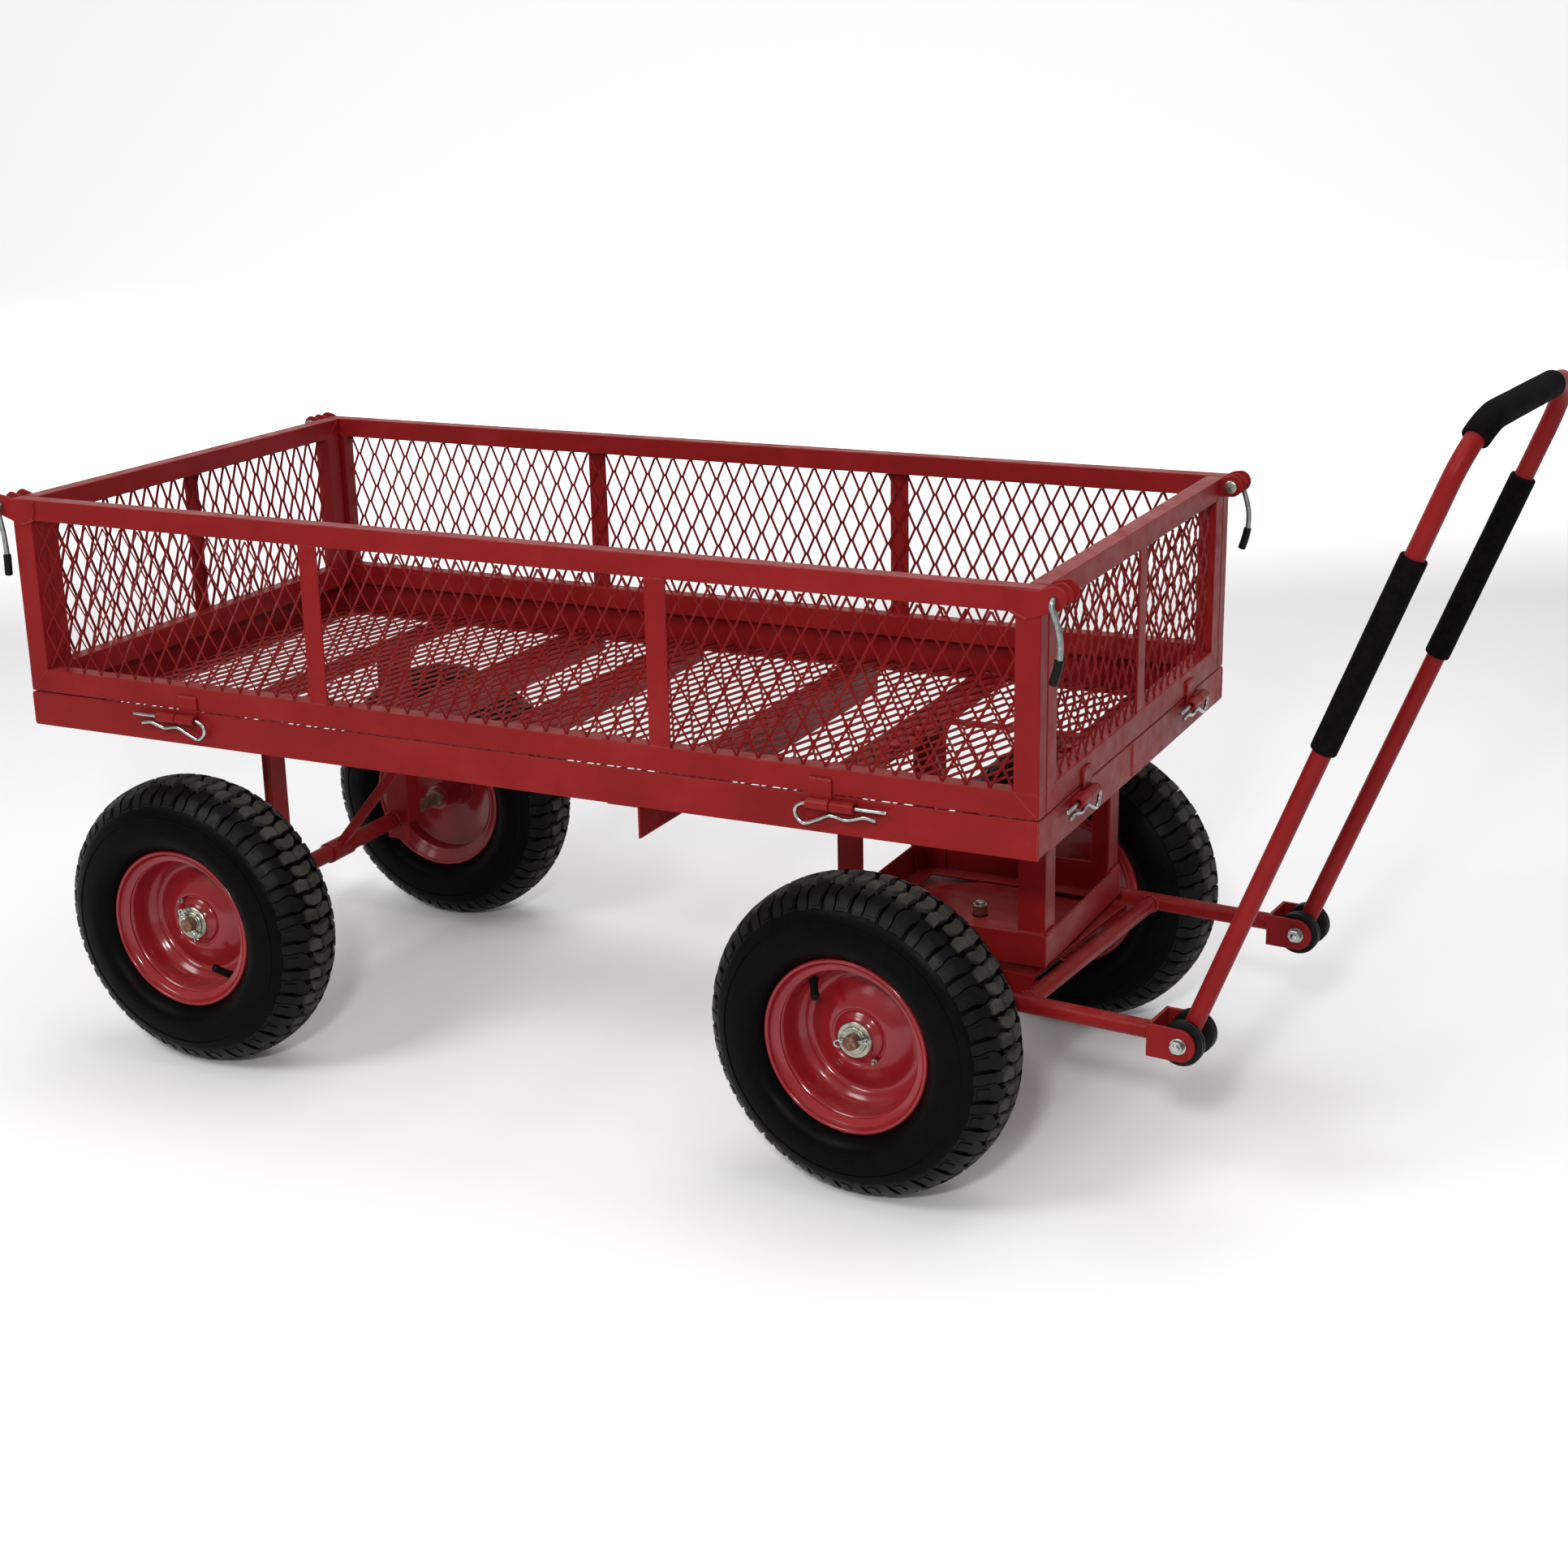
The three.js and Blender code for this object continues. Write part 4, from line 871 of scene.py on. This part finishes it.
def add_deck():
    parts, beads = [], []
    for s in SIDES:
        y, x = s * HALF_WIDTH, s * HALF_LENGTH
        parts.append(box(-HALF_LENGTH, HALF_LENGTH, y, y - s * STEEL, RAIL_BOTTOM, DECK_TOP))
        parts.append(box(-HALF_LENGTH, HALF_LENGTH, y, y - s * ANGLE, RAIL_BOTTOM, FLOOR_Z))
        parts.append(box(x, x - s * STEEL, -HALF_WIDTH, HALF_WIDTH, RAIL_BOTTOM, DECK_TOP))
        parts.append(box(x, x - s * ANGLE, -HALF_WIDTH, HALF_WIDTH, RAIL_BOTTOM, FLOOR_Z))
        for e in SIDES:
            cx, cy = e * (HALF_LENGTH - 0.6), s * (HALF_WIDTH - 0.6)
            beads.append(weld((cx, cy, RAIL_BOTTOM + 1), (cx, cy, DECK_TOP - 1), 1.3))
            cx, cy = cx - e * 4, cy - s * 4
            beads.append(weld((cx, cy, DECK_TOP - 20), (cx, cy, RAIL_BOTTOM + 4), 2.2))
    beads.append(weld((HALF_LENGTH, -24, DECK_TOP - 2), (HALF_LENGTH, -24, RAIL_BOTTOM + 2), 1.4))
    for rear, front, lip in CROSS_MEMBERS:
        parts.append(box(rear, front, -295, 295, RAIL_BOTTOM, FLOOR_Z))
        if lip:
            parts.append(box(front - STEEL, front, -270, 270, FLOOR_Z - lip, FLOOR_Z))
        for s in SIDES:
            beads.append(weld((rear + 4, s * 296, FLOOR_Z), (front - 4, s * 296, FLOOR_Z), 2))
    parts.append(box(142, 180, -300, 300, RAIL_BOTTOM - STEEL, RAIL_BOTTOM + 0.5))
    parts.append(box(177, 180, -300, 300, RAIL_BOTTOM - 36, RAIL_BOTTOM + 0.5))
    for hinge, face, turns in ((LONG_HINGE, HALF_WIDTH, 0), (END_HINGE, HALF_LENGTH, 1)):
        for hand in SIDES:
            x0 = hinge + 0.4 if hand > 0 else -hinge - 0.4 - KNUCKLE
            x1 = x0 + KNUCKLE
            root = box(x0, x1, -face - 3, -face + 0.5, PIVOT_Z - 4.5, PIVOT_Z + 4.5)
            bead = weld((x0 + 1, -face - 1.6, PIVOT_Z - 5.6), (x1 - 1, -face - 1.6, PIVOT_Z - 5.6), 2.1)
            for quarters in (turns, turns + 2):
                parts.append(quarter(knuckle(x0, x1, -face - PIVOT_OUT, PIVOT_Z), quarters))
                parts.append(quarter(root, quarters))
                beads.append(quarter(bead, quarters))
    steelwork("deck", parts, beads, "deck", "deck_frame", ON_DECK)
    heads = []
    for x in (346, 520):
        for y in (-32, 32):
            place = Matrix.Translation((x, y, FLOOR_Z + 1.6)) @ UPRIGHT
            heads.append(moved(hexagon(13, 0, 5.2), place))
            heads.append(moved(ring(9, 4, -0.2, 1.0, 32, soft=0.3), place))
    piece("tower_bolt_heads", combined(heads), "deck", RED, (), ON_DECK)


def add_tower():
    parts, beads = [], []
    ring_half, flange, low, high = 120.0, 24.0, 210.5, 246.0
    outer_post = ring_half - STEEL + 0.6
    top = RAIL_BOTTOM - 0.3
    for s in SIDES:
        edge = s * ring_half
        parts.append(box(-ring_half, ring_half, edge, edge - s * STEEL, low, high))
        parts.append(box(-ring_half, ring_half, edge, edge - s * flange, low, low + STEEL))
        parts.append(box(edge, edge - s * STEEL, -ring_half, ring_half, low, high))
        parts.append(box(edge, edge - s * flange, -ring_half, ring_half, low, low + STEEL))
        for t in SIDES:
            x, y = t * outer_post, s * outer_post
            parts.append(box(x, x - t * ANGLE, y, y - s * STEEL, low + 1, top))
            parts.append(box(x, x - t * STEEL, y, y - s * ANGLE, low + 1, top))
            near_x, far_x, near_y, far_y = x - t, x - t * (ANGLE - 1), y - s, y - s * (ANGLE - 1)
            beads.append(weld((x + t * 1.2, near_y, high + 0.6), (x + t * 1.2, far_y, high + 0.6), 2.4))
            beads.append(weld((near_x, y + s * 1.2, high + 0.6), (far_x, y + s * 1.2, high + 0.6), 2.4))
            cx, cy = t * (ring_half - 0.8), s * (ring_half - 0.8)
            beads.append(weld((cx, cy, low + 1), (cx, cy, high - 1), 1.4))
            beads.append(weld((near_x, y - s * 0.4, top - 1), (far_x, y - s * 0.4, top - 1), 1.4))
        reach = outer_post - 1
        parts.append(box(-reach, reach, s * reach, s * (reach - 20), top - STEEL, top - 0.4))
    parts.append(moved(ring(104, 8.6, 205.5, 211, 96), UPRIGHT))
    place = ON_DECK @ Matrix.Translation((FRONT_AXLE_X * MM, 0, 0))
    steelwork("tower", parts, beads, "deck", "front_tower", place)
    bolt = [bar((0, 0, 191), (0, 0, 226.5), 5.4, 32, 1), moved(hexagon(23, 190, 199.6), UPRIGHT)]
    piece("kingpin_bolt_plated", combined(bolt), "deck", ZINC, ["kingpin_bolt"], place)
    nut = moved(hexagon(15, 211.2, 223.5), UPRIGHT)
    piece("kingpin_nut_plated", nut, "deck", ZINC, ["kingpin_nut"], place)


def add_rear_frame():
    parts, beads = [], []
    top, foot, leg_y = RAIL_BOTTOM - 0.3, HUB_Z - 25, 120.0
    for s in SIDES:
        y = s * leg_y
        parts.append(box(-9, 24, y, y + s * STEEL, foot, top))
        parts.append(box(24 - STEEL, 24, y, y + s * ANGLE, foot + 22, top))
        parts.append(box(-9, 24, y, y + s * ANGLE, top - STEEL, top))
        beads += weld_ring((0, y - s * 0.8, HUB_Z), (1, 0, 0), 11.2, 1.8)
    sleeve = bar((0, -leg_y, HUB_Z), (0, leg_y, HUB_Z), 10.5, 40)
    collar = bar((0, -22, HUB_Z), (0, 22, HUB_Z), 13, 40, 1)
    rise = Vector((-252 - REAR_AXLE_X, 0, top - 14.5))
    start = Vector((6, 0, HUB_Z + 8))
    run = rise - start
    across = Vector((0, 5.4, 0))
    up = run.cross(across).normalized() * 5.4
    corners = [up - across, up + across, across - up, -across - up]
    parts.append(rings_joined([[start + c for c in corners], [rise + c for c in corners]]))
    parts.append(box(rise.x - 14, rise.x + 14, -14, 14, top - 19, top - 14.2))
    beads.append(weld(start + Vector((2, -7, 2)), start + Vector((2, 7, 2)), 2.6))
    place = ON_DECK @ Matrix.Translation((REAR_AXLE_X * MM, 0, 0))
    steelwork("rear_axle_frame", parts, beads, "deck", "rear_axle_frame", place)
    piece("rear_axle_sleeve", combined([sleeve, collar]), "deck", RED, (), place)


def add_bolster():
    top, foot, half = 205.2, HUB_Z - 18, 122.0
    parts = [box(-half, half, -half, half, top - 5, top)]
    shape = [(-30, foot), (30, foot), (half, top - 26), (half, top - 1), (-half, top - 1), (-half, top - 26)]
    for s in SIDES:
        y = s * half
        parts.append(plate(shape, min(y, y - s * 4), max(y, y - s * 4)))
    steelwork("bolster", parts, [], "steering", "steering_bolster", STEERED)


def ear(lapped):
    """The outline of a latch ear; u runs out from the end face."""
    z = LATCH_RISE
    if lapped:
        return [(-34, z - 6), (-32, z - 12), (-27, z - 17), (-20, z - 20), (-12, z - 20.6), (-4, z - 18),
                *arc(12.5, z, 12, -65, 90, 16), (4, z + 10.5), (-3, z + 7), (-34, z + 7)]
    return [(-1, z - 12), *arc(12.5, z, 12, -90, 90, 20), (2, z + 9), (-1, z + 7)]


def add_panel(side, turns):
    long = turns % 2 == 0
    half, face = (HALF_LENGTH, HALF_WIDTH) if long else (END_PANEL_HALF, HALF_LENGTH)
    high = PANEL_HEIGHT
    parts = [box(-half, half, 0, PANEL_DEPTH, 0, PANEL_FACE),
             box(-half, half, 0, PANEL_DEPTH, high - TOP_FACE, high)]
    hinge = LONG_HINGE if long else END_HINGE
    axis_z = PIVOT_Z - PANEL_BOTTOM
    beads, screws = [], []
    for e in SIDES:
        parts.append(box(e * half, e * (half - PANEL_FACE), 0, PANEL_DEPTH, 0, high))
        outer = e * (half - 1.2)
        for z, inner_z in ((1.2, PANEL_FACE), (high - 1.2, high - TOP_FACE)):
            for y in (0.5, PANEL_DEPTH - 0.5):
                beads.append(weld((outer, y, z), (e * (half - PANEL_FACE), y, inner_z), 0.8))
        x0, x1 = sorted((e * (hinge - KNUCKLE), e * hinge))
        parts.append(knuckle(x0, x1, -PIVOT_OUT, axis_z))
        parts.append(box(x0, x1, -3, -0.5, axis_z + 2, 14))
        parts.append(box(x0, x1, -3, 0.5, 1, 14))
        beads.append(weld((x0 + 0.5, -1.2, 14.4), (x1 - 0.5, -1.2, 14.4), 2.2))
        if long:
            for outline, y in ((ear(True), -2), (ear(False), PANEL_DEPTH - 4)):
                outline = outline if e > 0 else reversed(outline)
                parts.append(plate([(e * (half + u), v) for u, v in outline], y, y + STEEL))
            lap = (e * (half - 31), -0.7, LATCH_RISE - 14), (e * (half - 13), -0.7, LATCH_RISE - 21)
            beads.append(weld(*lap, 1.8))
        else:
            x = e * (half - 14)
            end_ear = plate([(-u, v) for u, v in reversed(ear(False))], -STEEL / 2, STEEL / 2)
            across = Matrix.Translation((x + e * 1.5, 0, 0)) @ Matrix.Rotation(math.pi / 2, 4, "Z")
            parts.append(moved(end_ear, across))
            screws.append(bar((x - e * 6.6, -12.5, LATCH_RISE), (x, -12.5, LATCH_RISE), 7.2, 40, 0.9))
    for x in ((-208, 208) if long else (0,)):
        parts.append(box(x - 12, x + 12, 0.25, 3.2, 1, high - 1))
        for z in (PANEL_FACE, high - TOP_FACE):
            beads.append(weld((x - 12, 1.0, z), (x + 12, 1.0, z), 1.2))
    place = (ON_DECK @ Matrix.Rotation(turns * math.pi / 2, 4, "Z")
             @ Matrix.Translation(Vector((0, -face, PANEL_BOTTOM)) * MM))
    steelwork(f"{side}_panel", parts, beads, f"{side}_panel", f"{side}_panel_frame", place)
    if screws:
        name = f"{side}_panel_cap_screws"
        piece(name, combined(screws), f"{side}_panel", ZINC, (), place)


def add_steelwork():
    add_deck()
    add_tower()
    add_rear_frame()
    add_bolster()
    for turns, side in enumerate(SIDE_NAMES):
        add_panel(side, turns)


# ---- Stage -----------------------------------------------------------------------------------------
def add_floor():
    """A flat floor, in metres, whose far rim curves up all round, so that no horizon shows."""
    reach, rise, segments = 9, 5, 96
    section = [(0.01, 0), (reach, 0), *arc(reach, rise, rise, -86, -10, 19)]
    rings = []
    for k in range(segments):
        turn = 2 * math.pi * k / segments
        rings.append([Vector((r * math.cos(turn), r * math.sin(turn), z)) for r, z in section])
    corners, faces = rings_joined(rings, closed_round=False, closed_along=True)
    mesh = bpy.data.meshes.new("floor")
    mesh.from_pydata(corners, [], faces)
    mesh.shade_smooth()
    look = Look("pale_floor", Roughness=0.95)
    look.shader.inputs["Base Color"].default_value = (0.9, 0.9, 0.9, 1)
    mesh.materials.append(look.material)
    floor = bpy.data.objects.new("floor", mesh)
    bpy.context.scene.collection.objects.link(floor)


bpy.context.scene.view_settings.view_transform = "Standard"
add_camera()
add_light()
add_expanded_metal()
add_wheels()
add_axles()
add_drawbar()
add_pivots()
add_handle()
add_clips()
add_latches()
add_steelwork()
add_floor()
